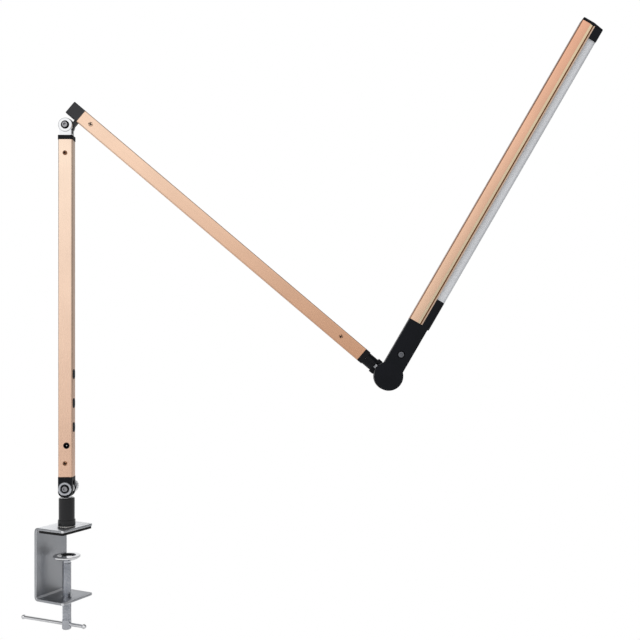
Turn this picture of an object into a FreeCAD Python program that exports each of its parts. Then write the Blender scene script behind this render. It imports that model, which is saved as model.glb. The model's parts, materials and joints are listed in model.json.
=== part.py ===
import FreeCAD, Part

import math
import os

from FreeCAD import Placement, Rotation, Vector

# Three-section folding lamp: a desk clamp, a swivel post, two flat tubes and a long light bar.
# World frame: origin on the post's axis at the underside of the upper jaw pad, +Z up.
# The arms fold in the XZ plane; the clamp is turned about Z against them.

doc = FreeCAD.newDocument("clamp_lamp")

# ---------------------------------------------------------------- driving sizes, millimetres and degrees
SIZES = [
    # clamp
    ("clamp_turn", 26.3),        # clamp's turn about the post against the plane of the arms
    ("bracket_depth", 41.0),     # web's outer face to the free edge
    ("bracket_width", 46.0),
    ("bracket_height", 80.0),
    ("plate_wall", 2.7),
    ("bend_radius", 2.0),        # inside radius of the folded plate
    ("post_to_web", 24.6),       # post's axis to the web's outer face
    ("pad_thickness", 2.8),
    ("pad_margin", 0.6),         # jaw pad stands in from the plate's edges
    ("screw_radius", 4.9),
    ("screw_top", -32.6),        # shoulder that carries the swivel pad
    ("screw_bottom", -107.8),
    ("screw_tip_radius", 2.8),
    ("screw_tip_length", 3.0),
    ("screw_neck_radius", 4.2),  # plain turned band under the shoulder
    ("pad_radius", 14.5),
    ("pad_rim", 4.6),
    ("pad_height", 5.7),
    ("pad_hub_radius", 5.6),
    ("pad_edge", 1.9),           # height of the pad's upright rim
    ("pad_dish", 1.6),           # hollow in the pad's top
    ("bar_height", -102.3),      # axis of the cross bar
    ("bar_radius", 1.9),
    ("bar_ball_radius", 2.6),
    ("bar_length", 90.0),
    ("bar_slid", 18.8),          # how far the bar stands off centre
    ("bar_turn", 23.0),          # bar's turn about Z
    # post
    ("washer_thickness", 0.6),
    ("ring_height", 6.3),
    ("ring_serration", 2.1),     # lower part of the ring that is fluted
    ("ring_radius", 9.3),
    ("ring_flutes", 24),
    ("flute_radius", 0.5),
    ("post_radius", 8.5),
    ("post_spigot_radius", 7.0),
    ("post_top", 36.6),
    ("post_edge", 0.7),
    ("post_screw_radius", 2.5),
    ("post_screw_head_radius", 4.6),
    ("post_screw_head", 1.4),
    ("post_screw_length", 16.0),
    # base hinge
    ("base_pivot_height", 46.9),
    ("base_eye_radius", 8.0),
    ("base_eye_half", 1.85),
    ("base_eye_neck", 10.0),
    ("base_collar_radius", 5.2),
    ("base_collar_drop", 10.0),  # pivot down to the collar's top
    ("base_stud_radius", 4.0),
    ("base_stud_length", 9.0),
    ("fork_end", 9.6),           # pivot to the fork's rounded end
    ("fork_round", 6.5),
    ("fork_slot_half", 2.4),
    ("fork_slot_depth", 8.6),
    ("fork_half_width", 7.7),
    ("fork_recess_radius", 4.7),
    ("fork_recess", 2.0),
    ("base_ring_radius", 7.4),
    ("base_ring_height", 1.5),
    ("base_ring_edge", 0.5),
    # hinge hardware
    ("bolt_radius", 2.0),
    ("bolt_head_radius", 3.1),
    ("bolt_head", 4.0),
    ("socket_radius", 1.75),
    ("socket_depth", 2.2),
    ("hinge_washer_radius", 5.0),
    ("hinge_washer", 1.0),
    ("friction_washer", 0.45),
    ("knob_collar_radius", 4.6),
    ("knob_collar", 5.4),
    ("knob_radius", 7.8),
    ("knob_grip", 6.4),
    ("knob_flutes", 18),
    ("knob_edge", 0.8),
    ("knob_wall", 1.8),          # closed end of the knob past the bolt
    # tubes
    ("tube_width", 15.6),
    ("tube_depth", 12.0),
    ("tube_wall", 1.2),
    ("tube_corner", 1.6),
    ("lower_tube_start", 13.0),  # from the base pivot
    ("lower_tube_length", 369.2),
    ("lower_cap", 4.7),
    ("cap_overhang", 0.4),
    ("plug_length", 22.0),
    ("elbow_above_cap", 11.3),   # cap's top to the elbow pivot
    ("lower_screw_low", 14.8),   # tube's end to its screw
    ("lower_screw_high", 14.9),
    ("tube_screw_radius", 1.5),
    ("tube_screw_head_radius", 2.5),
    ("tube_screw_head", 1.1),
    ("tube_screw_reach", 2.6),
    # elbow
    ("elbow_radius", 8.3),       # black eye of the upper arm, between the fork's cheeks
    ("elbow_middle", 3.6),       # thickness of that eye and its link
    ("elbow_link", 4.4),         # width of the link up to its cap
    ("elbow_cheek_radius", 7.8),
    ("elbow_slot_gap", 0.4),     # past the black eye's rim
    ("elbow_recess_radius", 4.6),
    ("elbow_recess", 2.8),
    ("elbow_seat", 0.6),         # black washer under the bolt's head
    ("nut_radius", 4.0),
    ("nut_height", 3.2),
    ("elbow_shank_width", 12.6),
    ("elbow_stem_in", 0.6),      # stem stands in from the cheeks' faces
    ("elbow_shank_reach", 26.0),
    ("elbow_offset", 18.2),      # pivot to the upper tube's axis
    ("elbow_cap_behind", 8.3),   # cap's end behind the pivot
    ("elbow_cap_ahead", 7.4),    # gold tube's start ahead of the pivot
    ("elbow_edge", 1.0),
    ("upper_pitch", 40.3),       # upper arm below the horizontal in the rest pose
    ("upper_reach", 446.0),      # elbow pivot to wrist pivot along the upper arm
    ("upper_screw_first", 13.8),
    ("upper_screw_last", 30.0),
    # wrist
    ("wrist_gap", 36.4),         # tube's end to the wrist pivot
    ("wrist_collar", 6.2),
    ("wrist_plug_length", 35.0),
    ("sleeve_radius", 7.1),
    ("sleeve_groove", 0.3),
    ("sleeve_start", 30.0),      # wrist pivot back to the sleeve's end
    ("flange_start", 18.4),
    ("flange_end", 13.6),
    ("flange_half_width", 8.6),
    ("flange_half_depth", 6.3),
    ("window_width", 8.0),
    ("window_length", 3.3),
    ("pin_radius", 5.0),
    ("pin_thin_radius", 3.0),
    ("pin_bore_radius", 1.5),
    ("clip_radius", 4.5),
    ("clip_thickness", 1.0),
    ("barrel_radius", 14.2),
    ("barrel_front", 9.7),
    ("barrel_back", 4.5),
    ("barrel_edge", 1.0),
    ("pivot_radius", 2.5),
    ("pivot_head_radius", 4.25),
    ("pivot_head", 3.4),
    ("pivot_washer_radius", 12.5),
    ("pivot_washer", 0.7),
    # light bar
    ("head_pitch", 59.93),       # light bar above the horizontal in the rest pose
    ("head_depth", 16.0),
    ("head_top", 11.6),
    ("head_side", 12.4),         # smooth side of the channel
    ("head_bevel", 3.2),         # slanted band along the side's lower edge
    ("head_bevel_in", 0.5),
    ("head_groove", 1.4),
    ("head_groove_in", 1.1),
    ("head_lip", 1.3),
    ("head_wall", 1.9),
    ("head_corner", 1.2),
    ("web_height", 3.2),         # upper face of the channel's inner web
    ("web_wall", 1.4),
    ("head_start", 65.1),        # wrist pivot to the channel
    ("head_length", 436.4),      # wrist pivot to the tip
    ("end_plate", 3.2),
    ("end_tongue", 16.6),
    ("end_slope", 2.0),          # how far the cap's outer end falls back over the cover
    ("end_plug", 12.0),
    ("neck_tongue", 32.0),
    ("neck_plug", 18.0),
    ("neck_half_width", 11.35),
    ("neck_edge", 1.4),
    ("disc_radius", 15.6),
    ("disc_edge", 1.6),
    ("neck_screw_place", 26.6),
    ("neck_screw_recess_radius", 4.1),
    ("neck_screw_recess", 3.0),
    ("neck_screw_head_radius", 3.95),
    ("neck_screw_head", 2.2),
    ("neck_screw_radius", 1.6),
    ("neck_screw_length", 9.0),
    ("diffuser_drop", 9.4),
    ("diffuser_half_width", 6.0),
    ("diffuser_wall", 1.2),
    ("diffuser_round", 3.0),
    ("diffuser_hold", 4.0),      # part of the diffuser inside the channel
    ("board_width", 9.0),
    ("board_wall", 1.0),
    ("chip_side", 2.8),
    ("chip_height", 0.8),
    ("chip_pitch", 8.0),
    # controls
    ("jack_place", 47.3),        # base pivot up to the power inlet
    ("jack_offset", 1.5),
    ("jack_radius", 3.5),
    ("jack_bore_radius", 2.75),
    ("jack_depth", 9.0),
    ("jack_bore_depth", 7.5),
    ("jack_lip", 0.4),
    ("jack_pin_radius", 1.0),
    ("button_top", 125.4),       # base pivot up to each button's middle
    ("button_mid", 93.5),
    ("button_low", 67.1),
    ("button_length", 11.0),
    ("button_width", 7.6),
    ("button_flange", 0.5),
    ("button_flange_wall", 0.6),
    ("button_proud", 0.5),
    ("switch_height", 1.8),
    ("switch_side", 6.0),
    ("switch_gap", 0.55),        # button's foot to its switch, more than its travel
    ("control_start", 55.0),
    ("control_length", 82.0),
    ("control_wall", 1.2),
    ("cable_radius", 1.3),
    # clearances
    ("play", 0.06),              # radial play of a pin in its bore
    ("slip", 0.1),               # plug in a tube, pad in a recess
    ("face_gap", 0.05),          # between flat faces that turn on each other
    ("button_play", 0.15),
]

sheet = doc.addObject("Spreadsheet::Sheet", "sizes")
for row, (alias, value) in enumerate(SIZES, start=1):
    sheet.set("A%d" % row, alias)
    sheet.set("B%d" % row, str(value))
    sheet.setAlias("B%d" % row, alias)
doc.recompute()


def size(expression):
    """Number that an expression of sheet aliases stands for."""
    return float(sheet.evalExpression(bound(expression)))


def bound(expression):
    """The same expression with the sheet's name before each alias."""
    words = []
    word = ""
    for letter in str(expression) + " ":
        if letter.isalnum() or letter in "_.":
            word += letter
            continue
        words.append("sizes." + word if word in ALIASES else word)
        words.append(letter)
        word = ""
    return "".join(words).strip()


ALIASES = {alias for alias, _ in SIZES}


# ---------------------------------------------------------------- building blocks
def new_body(label):
    body = doc.addObject("PartDesign::Body", label)
    body.Label = label
    return body


def origin_plane(body, role):
    for feature in body.Origin.OriginFeatures:
        if feature.Role == role:
            return feature
    raise ValueError("no plane " + role)


def new_sketch(body, role, offset="0"):
    """Sketch on an origin plane of its own body, moved along the plane's normal."""
    sketch = body.newObject("Sketcher::SketchObject", body.Name + "_sketch")
    sketch.AttachmentSupport = [(origin_plane(body, role), "")]
    sketch.MapMode = "FlatFace"
    sketch.setExpression(".AttachmentOffset.Base.z", bound(offset))
    return sketch


def fix_point(sketch, geometry, end, across, up):
    """Hold one point of a sketch at two bound coordinates."""
    import Sketcher
    for kind, axis, expression in (("DistanceX", -2, across), ("DistanceY", -1, up)):
        if abs(size(expression)) < 1e-9:
            sketch.addConstraint(Sketcher.Constraint("PointOnObject", geometry, end, axis))
            continue
        index = sketch.addConstraint(Sketcher.Constraint(kind, -1, 1, geometry, end, size(expression)))
        sketch.setExpression("Constraints[%d]" % index, bound(expression))


def outline(sketch, points):
    """Closed polygon through bound points."""
    import Sketcher
    places = [Vector(size(a), size(b), 0) for a, b in points]
    first = sketch.GeometryCount
    count = len(points)
    for i in range(count):
        sketch.addGeometry(Part.LineSegment(places[i], places[(i + 1) % count]), False)
    for i in range(count):
        following = first + (i + 1) % count
        sketch.addConstraint(Sketcher.Constraint("Coincident", first + i, 2, following, 1))
    for i, (a, b) in enumerate(points):
        fix_point(sketch, first + i, 1, a, b)


def rectangle(sketch, left, right, bottom, top):
    outline(sketch, [(left, bottom), (right, bottom), (right, top), (left, top)])


def circle(sketch, radius, across="0", up="0"):
    import Sketcher
    middle = Vector(size(across), size(up), 0)
    index = sketch.addGeometry(Part.Circle(middle, Vector(0, 0, 1), size(radius)), False)
    fix_point(sketch, index, 3, across, up)
    held = sketch.addConstraint(Sketcher.Constraint("Radius", index, size(radius)))
    sketch.setExpression("Constraints[%d]" % held, bound(radius))


def hexagon(sketch, radius):
    outline(sketch, [("%s * cos(%d deg)" % (radius, 60 * k), "%s * sin(%d deg)" % (radius, 60 * k))
                     for k in range(6)])


def long_hole(sketch, length, width, across, up):
    """Upright slot with round ends."""
    import Sketcher
    radius = size(width) / 2
    half = (size(length) - size(width)) / 2
    x = size(across)
    y = size(up)
    normal = Vector(0, 0, 1)
    upper = sketch.addGeometry(Part.ArcOfCircle(Part.Circle(Vector(x, y + half, 0), normal, radius), 0, math.pi))
    left = sketch.addGeometry(Part.LineSegment(Vector(x - radius, y + half, 0), Vector(x - radius, y - half, 0)))
    lower = sketch.addGeometry(
        Part.ArcOfCircle(Part.Circle(Vector(x, y - half, 0), normal, radius), math.pi, 2 * math.pi))
    right = sketch.addGeometry(Part.LineSegment(Vector(x + radius, y - half, 0), Vector(x + radius, y + half, 0)))
    for a, b in ((upper, left), (left, lower), (lower, right), (right, upper)):
        sketch.addConstraint(Sketcher.Constraint("Tangent", a, 2, b, 1))
    sketch.addConstraint(Sketcher.Constraint("Equal", upper, lower))
    held = sketch.addConstraint(Sketcher.Constraint("Radius", upper, radius))
    sketch.setExpression("Constraints[%d]" % held, bound("(%s) / 2" % width))
    fix_point(sketch, upper, 3, across, "(%s) + ((%s) - (%s)) / 2" % (up, length, width))
    fix_point(sketch, lower, 3, across, "(%s) - ((%s) - (%s)) / 2" % (up, length, width))


def pad(body, sketch, length, both=False, back=False):
    feature = body.newObject("PartDesign::Pad", body.Name + "_pad")
    feature.Profile = sketch
    feature.setExpression("Length", bound(length))
    feature.Midplane = both
    feature.Reversed = back
    body.Tip = feature
    doc.recompute()
    return feature


def pocket(body, sketch, length, both=False, back=False):
    """Cut a sketch into the body and make sure that it took something away."""
    before = body.Shape.Volume
    feature = body.newObject("PartDesign::Pocket", body.Name + "_pocket")
    feature.Profile = sketch
    feature.setExpression("Length", bound(length))
    feature.Midplane = both
    feature.Reversed = back
    body.Tip = feature
    doc.recompute()
    if not body.Shape.Volume < before - 1e-6:
        raise ValueError("a pocket in %s cut nothing" % body.Label)
    return feature


def revolve(body, points, cut=False):
    """Turn a profile of (radius, height) points about the body's Z axis."""
    sketch = new_sketch(body, "XZ_Plane")
    outline(sketch, points)
    kind = "PartDesign::Groove" if cut else "PartDesign::Revolution"
    before = body.Shape.Volume if cut else 0
    feature = body.newObject(kind, body.Name + "_turned")
    feature.Profile = sketch
    feature.ReferenceAxis = (sketch, ["V_Axis"])
    feature.Angle = 360
    body.Tip = feature
    doc.recompute()
    if cut and not body.Shape.Volume < before - 1e-6:
        raise ValueError("a groove in %s cut nothing" % body.Label)
    return feature


def dress(body, kind, amount, wanted):
    """Fillet or chamfer the edges that a test picks out."""
    base = body.Tip
    names = ["Edge%d" % (i + 1) for i, edge in enumerate(base.Shape.Edges) if wanted(edge)]
    if not names:
        raise ValueError("no edge to dress on " + body.Label)
    feature = body.newObject("PartDesign::" + kind, body.Name + "_" + kind.lower())
    feature.Base = (base, names)
    feature.setExpression("Radius" if kind == "Fillet" else "Size", bound(amount))
    body.Tip = feature
    doc.recompute()
    return feature


def repeat_round(body, feature, count):
    """Repeat one cut about the body's Z axis."""
    pattern = body.newObject("PartDesign::PolarPattern", body.Name + "_round")
    pattern.Originals = [feature]
    pattern.Axis = (origin_plane(body, "Z_Axis"), [""])
    pattern.Angle = 360
    pattern.setExpression("Occurrences", bound(count))
    body.Tip = pattern
    doc.recompute()
    return pattern


def near(a, b):
    return abs(a - b) < 1e-4


def lies_along(edge, axis):
    """True for a straight edge that runs along one axis of the body."""
    if len(edge.Vertexes) != 2 or edge.Curve.TypeId != "Part::GeomLine":
        return False
    run = edge.Vertexes[1].Point - edge.Vertexes[0].Point
    across = [abs(run[i]) for i in range(3) if i != axis]
    return max(across) < 1e-6 and abs(run[axis]) > 1e-6


def ring(label, outer, inner, height):
    """Flat ring standing on its body's XY plane."""
    body = new_body(label)
    sketch = new_sketch(body, "XY_Plane")
    circle(sketch, outer)
    circle(sketch, inner)
    pad(body, sketch, height)
    return body


def group(label, pieces):
    """Separate solids kept as one named piece."""
    holder = doc.addObject("Part::Compound", label)
    holder.Label = label
    holder.Links = pieces
    doc.recompute()
    return holder


PARTS = []


def keep(piece, place=None):
    """Place a finished piece and list it for export."""
    if place is not None:
        piece.Placement = place
    PARTS.append(piece)
    return piece


def at(frame, x=0.0, y=0.0, z=0.0, turn=None):
    """A spot in a frame, given in that frame's own axes."""
    return frame.multiply(Placement(Vector(x, y, z), turn or Rotation()))


Z_TO_BACK = Rotation(Vector(1, 0, 0), -90)    # a piece's +Z points along +Y, away from the viewer
Z_TO_FRONT = Rotation(Vector(1, 0, 0), 90)
Z_TO_X = Rotation(Vector(0, 1, 0), 90)
Z_TO_MINUS_X = Rotation(Vector(0, 1, 0), -90)

# ---------------------------------------------------------------- frames of the moving groups
plate_top = size("pad_thickness + plate_wall")
clamp_frame = Placement(Vector(0, 0, 0), Rotation(Vector(0, 0, 1), -size("clamp_turn")))
post_frame = Placement(Vector(0, 0, plate_top), Rotation())
lower_frame = Placement(Vector(0, 0, size("base_pivot_height")), Rotation(Vector(0, 1, 0), -90))
lower_tube_end = "lower_tube_start + lower_tube_length"
elbow_place = lower_tube_end + " + lower_cap + elbow_above_cap"
upper_frame = at(lower_frame, size(elbow_place), turn=Rotation(Vector(0, 1, 0), 90 + size("upper_pitch")))
wrist_frame = at(upper_frame, size("upper_reach"), 0, size("elbow_offset"))
head_middle = size("barrel_front + pivot_washer + 2 * face_gap + head_depth / 2")
head_turn = Rotation(Vector(0, 1, 0), -size("head_pitch") - size("upper_pitch"))
head_frame = at(wrist_frame, 0, -head_middle, 0, head_turn)


# ---------------------------------------------------------------- clamp
def make_bracket():
    body = new_body("clamp_bracket")
    sketch = new_sketch(body, "XZ_Plane")
    web = "-post_to_web"
    web_in = "-post_to_web + plate_wall"
    edge = "bracket_depth - post_to_web"
    top = "pad_thickness + plate_wall"
    under = "pad_thickness"
    foot = top + " - bracket_height"
    foot_in = foot + " + plate_wall"
    outline(sketch, [(edge, top), (web, top), (web, foot), (edge, foot),
                     (edge, foot_in), (web_in, foot_in), (web_in, under), (edge, under)])
    pad(body, sketch, "bracket_width", both=True)
    outer_x = size(web)
    inner_x = size(web_in)
    dress(body, "Fillet", "bend_radius",
          lambda e: lies_along(e, 1) and near(e.CenterOfMass.x, inner_x))
    dress(body, "Fillet", "bend_radius + plate_wall",
          lambda e: lies_along(e, 1) and near(e.CenterOfMass.x, outer_x))
    free_x = size(edge)
    dress(body, "Fillet", "bend_radius",
          lambda e: lies_along(e, 2) and near(e.CenterOfMass.x, free_x))
    hole = new_sketch(body, "XY_Plane", top)
    circle(hole, "post_screw_radius + play")
    pocket(body, hole, "plate_wall")
    seat = new_sketch(body, "XY_Plane", under)
    circle(seat, "post_screw_head_radius + slip")
    pocket(body, seat, "post_screw_head + slip", back=True)
    thread = new_sketch(body, "XY_Plane", foot_in)
    circle(thread, "screw_radius + play")
    pocket(body, thread, "plate_wall")
    return body


def make_jaw_pad():
    body = new_body("jaw_pad")
    sketch = new_sketch(body, "XY_Plane")
    rectangle(sketch, "-post_to_web + plate_wall + bend_radius + pad_margin",
              "bracket_depth - post_to_web - pad_margin",
              "-bracket_width / 2 + pad_margin", "bracket_width / 2 - pad_margin")
    pad(body, sketch, "pad_thickness")
    dress(body, "Fillet", "bend_radius", lambda e: lies_along(e, 2))
    return body


def make_screw_pad():
    """Swivel pad: a dished disc whose underside curves into its hub."""
    body = new_body("screw_pad")
    base = "screw_top"
    top = base + " + pad_height"
    tip = base + " + screw_tip_length + slip"
    revolve(body, [
        ("screw_tip_radius + play", base),
        ("pad_hub_radius", base),
        ("pad_radius * 0.62", base + " + pad_height * 0.2"),
        ("pad_radius * 0.84", base + " + pad_height * 0.4"),
        ("pad_radius", top + " - pad_edge"),
        ("pad_radius", top + " - 0.4"),
        ("pad_radius - 0.4", top),
        ("pad_radius - pad_rim", top),
        ("pad_radius - pad_rim - pad_dish", top + " - pad_dish"),
        ("0", top + " - pad_dish"),
        ("0", tip),
        ("screw_tip_radius + play", tip)])
    return body


def make_clamp_screw():
    body = new_body("clamp_screw")
    revolve(body, [
        ("0", "screw_bottom"),
        ("screw_radius - 0.8", "screw_bottom"),
        ("screw_radius", "screw_bottom + 0.8"),
        ("screw_radius", "screw_top - 2.4"),
        ("screw_neck_radius", "screw_top - 1.8"),
        ("screw_neck_radius", "screw_top - face_gap"),
        ("screw_tip_radius", "screw_top - face_gap"),
        ("screw_tip_radius", "screw_top + screw_tip_length"),
        ("0", "screw_top + screw_tip_length")])
    hole = new_sketch(body, "XZ_Plane")
    circle(hole, "bar_radius + play", "0", "bar_height")
    pocket(body, hole, "4 * screw_radius", both=True)
    return body


def make_t_bar():
    """Cross bar with a ball at each end that stops it in the screw's hole."""
    body = new_body("t_bar")
    half = "bar_length / 2"
    ball = "bar_ball_radius"
    revolve(body, [
        ("0", "-" + half),
        ("%s * 0.6" % ball, "-%s + %s * 0.2" % (half, ball)),
        (ball, "-%s + %s * 0.9" % (half, ball)),
        (ball, "-%s + %s * 1.2" % (half, ball)),
        ("bar_radius", "-%s + %s * 1.8" % (half, ball)),
        ("bar_radius", "%s - %s * 1.8" % (half, ball)),
        (ball, "%s - %s * 1.2" % (half, ball)),
        (ball, "%s - %s * 0.9" % (half, ball)),
        ("%s * 0.6" % ball, "%s - %s * 0.2" % (half, ball)),
        ("0", half)])
    return body


keep(make_bracket(), clamp_frame)
keep(make_jaw_pad(), clamp_frame)
keep(make_screw_pad(), clamp_frame)
bar_frame = Placement(Vector(0, 0, 0), Rotation(Vector(0, 0, 1), -size("bar_turn")))
keep(make_clamp_screw(), Placement(Vector(0, 0, 0), Rotation(Vector(0, 0, 1), 90 - size("bar_turn"))))
keep(make_t_bar(), at(bar_frame, -size("bar_slid"), 0, size("bar_height"), Z_TO_X))


# ---------------------------------------------------------------- post
def make_knurled_ring():
    body = ring("knurled_ring", "ring_radius", "post_spigot_radius + face_gap", "ring_height")
    flute = new_sketch(body, "XY_Plane")
    circle(flute, "flute_radius", "ring_radius")
    cut = pocket(body, flute, "ring_serration", back=True)
    repeat_round(body, cut, "ring_flutes")
    return body


def make_post():
    body = new_body("post")
    shoulder = "ring_height"
    top = "post_top - pad_thickness - plate_wall - washer_thickness - face_gap"
    depth = "post_screw_length"
    revolve(body, [
        ("post_screw_radius + face_gap", "0"),
        ("post_spigot_radius", "0"),
        ("post_spigot_radius", shoulder),
        ("post_radius", shoulder),
        ("post_radius", top + " - post_edge"),
        ("post_radius - post_edge", top),
        ("base_stud_radius + face_gap", top),
        ("base_stud_radius + face_gap", top + " - base_stud_length"),
        ("0", top + " - base_stud_length"),
        ("0", depth),
        ("post_screw_radius + face_gap", depth)])
    return body


def make_post_screw():
    """Flat-headed screw from under the plate into the post."""
    body = new_body("post_screw")
    revolve(body, [
        ("0", "0"),
        ("post_screw_head_radius", "0"),
        ("post_screw_head_radius", "post_screw_head"),
        ("post_screw_radius", "post_screw_head"),
        ("post_screw_radius", "plate_wall + washer_thickness + post_screw_length - 1"),
        ("0", "plate_wall + washer_thickness + post_screw_length - 1")])
    socket = new_sketch(body, "XY_Plane")
    hexagon(socket, "socket_radius")
    pocket(body, socket, "post_screw_head * 0.7", back=True)
    return body


def make_base_eye():
    """Bright eye on a stud that screws into the post, with a collar on the post's top."""
    body = new_body("base_eye")
    sketch = new_sketch(body, "XZ_Plane")
    circle(sketch, "base_eye_radius")
    pad(body, sketch, "2 * base_eye_half", both=True)
    neck = new_sketch(body, "XZ_Plane")
    rectangle(neck, "-base_eye_neck / 2", "base_eye_neck / 2", "-base_collar_drop - 0.3", "0")
    pad(body, neck, "2 * base_eye_half", both=True)
    stem_top = "-base_collar_drop"
    collar_foot = "post_top - base_pivot_height"
    revolve(body, [
        ("0", stem_top),
        ("base_collar_radius", stem_top),
        ("base_collar_radius", collar_foot),
        ("base_stud_radius", collar_foot),
        ("base_stud_radius", collar_foot + " - base_stud_length + 0.5"),
        ("0", collar_foot + " - base_stud_length + 0.5")])
    bore = new_sketch(body, "XZ_Plane")
    circle(bore, "bolt_radius + play")
    pocket(body, bore, "4 * base_eye_half", both=True)
    return body


ring_foot = size("washer_thickness + face_gap")
keep(ring("swivel_washer", "post_radius", "post_screw_radius + 2 * play", "washer_thickness"), post_frame)
keep(make_knurled_ring(), at(post_frame, 0, 0, ring_foot))
keep(make_post(), at(post_frame, 0, 0, ring_foot))
keep(make_post_screw(), at(post_frame, 0, 0, -size("plate_wall") + 0.05))
keep(make_base_eye(), Placement(Vector(0, 0, size("base_pivot_height")), Rotation()))


# ---------------------------------------------------------------- shared hinge hardware
def make_bolt(label, length):
    """Socket-head bolt: head on top at its body's origin, shank down -Z."""
    body = new_body(label)
    revolve(body, [
        ("0", "0"),
        ("bolt_head_radius - 0.4", "0"),
        ("bolt_head_radius", "-0.4"),
        ("bolt_head_radius", "-bolt_head"),
        ("bolt_radius", "-bolt_head"),
        ("bolt_radius", "-bolt_head - (%s)" % length),
        ("0", "-bolt_head - (%s)" % length)])
    socket = new_sketch(body, "XY_Plane")
    hexagon(socket, "socket_radius")
    pocket(body, socket, "socket_depth")
    return body


def make_knob(label, engaged):
    """Knurled thumb nut: collar at the origin, grip up +Z, blind bore for the bolt."""
    body = new_body(label)
    total = "knob_collar + knob_grip"
    bore = "bolt_radius + face_gap"
    revolve(body, [
        (bore, "0"),
        ("knob_collar_radius", "0"),
        ("knob_collar_radius", "knob_collar"),
        ("knob_radius - knob_edge", "knob_collar"),
        ("knob_radius", "knob_collar + knob_edge"),
        ("knob_radius", total + " - knob_edge"),
        ("knob_radius - knob_edge", total),
        ("0", total),
        ("0", engaged),
        (bore, engaged)])
    flute = new_sketch(body, "XY_Plane", "knob_collar")
    circle(flute, "flute_radius", "knob_radius")
    cut = pocket(body, flute, "knob_grip", back=True)
    repeat_round(body, cut, "knob_flutes")
    return body


def make_tube(label, length):
    """Flat tube with rounded edges, from its body's origin along +X."""
    body = new_body(label)
    sketch = new_sketch(body, "YZ_Plane")
    half_depth = "tube_depth / 2"
    half_width = "tube_width / 2"
    rectangle(sketch, "-" + half_depth, half_depth, "-" + half_width, half_width)
    rectangle(sketch, "-%s + tube_wall" % half_depth, half_depth + " - tube_wall",
              "-%s + tube_wall" % half_width, half_width + " - tube_wall")
    pad(body, sketch, length)
    edge_y = size(half_depth)
    dress(body, "Fillet", "tube_corner",
          lambda e: lies_along(e, 0) and near(abs(e.CenterOfMass.y), edge_y))
    return body


def front_hole(body, radius, along, across="0"):
    """Round hole through a tube's front wall."""
    sketch = new_sketch(body, "XZ_Plane", "tube_depth / 2")
    circle(sketch, radius, along, across)
    pocket(body, sketch, "tube_wall + 0.2")


def tenon_sketch(body, offset):
    """Rectangle that slips into a tube."""
    sketch = new_sketch(body, "YZ_Plane", offset)
    half_depth = "tube_depth / 2 - tube_wall - slip"
    half_width = "tube_width / 2 - tube_wall - slip"
    rectangle(sketch, "-(%s)" % half_depth, half_depth, "-(%s)" % half_width, half_width)
    return sketch


def make_tube_screws(label, frame, places):
    """Pan-head screws that hold the end pieces in a tube."""
    screws = []
    for number, place in enumerate(places):
        body = new_body("%s_%d" % (label, number))
        revolve(body, [
            ("0", "-tube_screw_reach"),
            ("tube_screw_radius", "-tube_screw_reach"),
            ("tube_screw_radius", "0"),
            ("tube_screw_head_radius", "0"),
            ("tube_screw_head_radius", "tube_screw_head * 0.45"),
            ("tube_screw_head_radius * 0.7", "tube_screw_head * 0.9"),
            ("tube_screw_head_radius * 0.3", "tube_screw_head"),
            ("0", "tube_screw_head")])
        body.Placement = at(frame, size(place), -size("tube_depth / 2"), 0, Z_TO_FRONT)
        screws.append(body)
    return group(label, screws)


# ---------------------------------------------------------------- lower arm and base hinge
def make_lower_tube():
    body = make_tube("lower_tube", "lower_tube_length")
    front_hole(body, "tube_screw_radius + face_gap", "lower_screw_low")
    front_hole(body, "tube_screw_radius + face_gap", "lower_tube_length - lower_screw_high")
    # in the arm's frame +Z looks to -X of the world, so the inlet stands on the -Z side
    front_hole(body, "jack_radius + face_gap", "jack_place - lower_tube_start", "-jack_offset")
    for place in ("button_top", "button_mid", "button_low"):
        sketch = new_sketch(body, "XY_Plane", "-tube_width / 2")
        # sketch X runs along the tube, so the slot is drawn turned by a quarter
        side_slot(sketch, "%s - lower_tube_start" % place)
        pocket(body, sketch, "tube_wall + 0.2", back=True)
    return body


def side_slot(sketch, along):
    """Slot along the sketch's X axis for one button."""
    import Sketcher
    radius = size("button_width / 2")
    half = size("(button_length - button_width) / 2")
    x = size(along)
    normal = Vector(0, 0, 1)
    turn = math.pi / 2
    right = sketch.addGeometry(
        Part.ArcOfCircle(Part.Circle(Vector(x + half, 0, 0), normal, radius), -turn, turn))
    upper = sketch.addGeometry(Part.LineSegment(Vector(x + half, radius, 0), Vector(x - half, radius, 0)))
    left = sketch.addGeometry(
        Part.ArcOfCircle(Part.Circle(Vector(x - half, 0, 0), normal, radius), turn, 3 * turn))
    lower = sketch.addGeometry(Part.LineSegment(Vector(x - half, -radius, 0), Vector(x + half, -radius, 0)))
    for a, b in ((right, upper), (upper, left), (left, lower), (lower, right)):
        sketch.addConstraint(Sketcher.Constraint("Tangent", a, 2, b, 1))
    sketch.addConstraint(Sketcher.Constraint("Equal", right, left))
    held = sketch.addConstraint(Sketcher.Constraint("Radius", right, radius))
    sketch.setExpression("Constraints[%d]" % held, bound("button_width / 2"))
    fix_point(sketch, right, 3, along + " + (button_length - button_width) / 2", "0")
    fix_point(sketch, left, 3, along + " - (button_length - button_width) / 2", "0")


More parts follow.
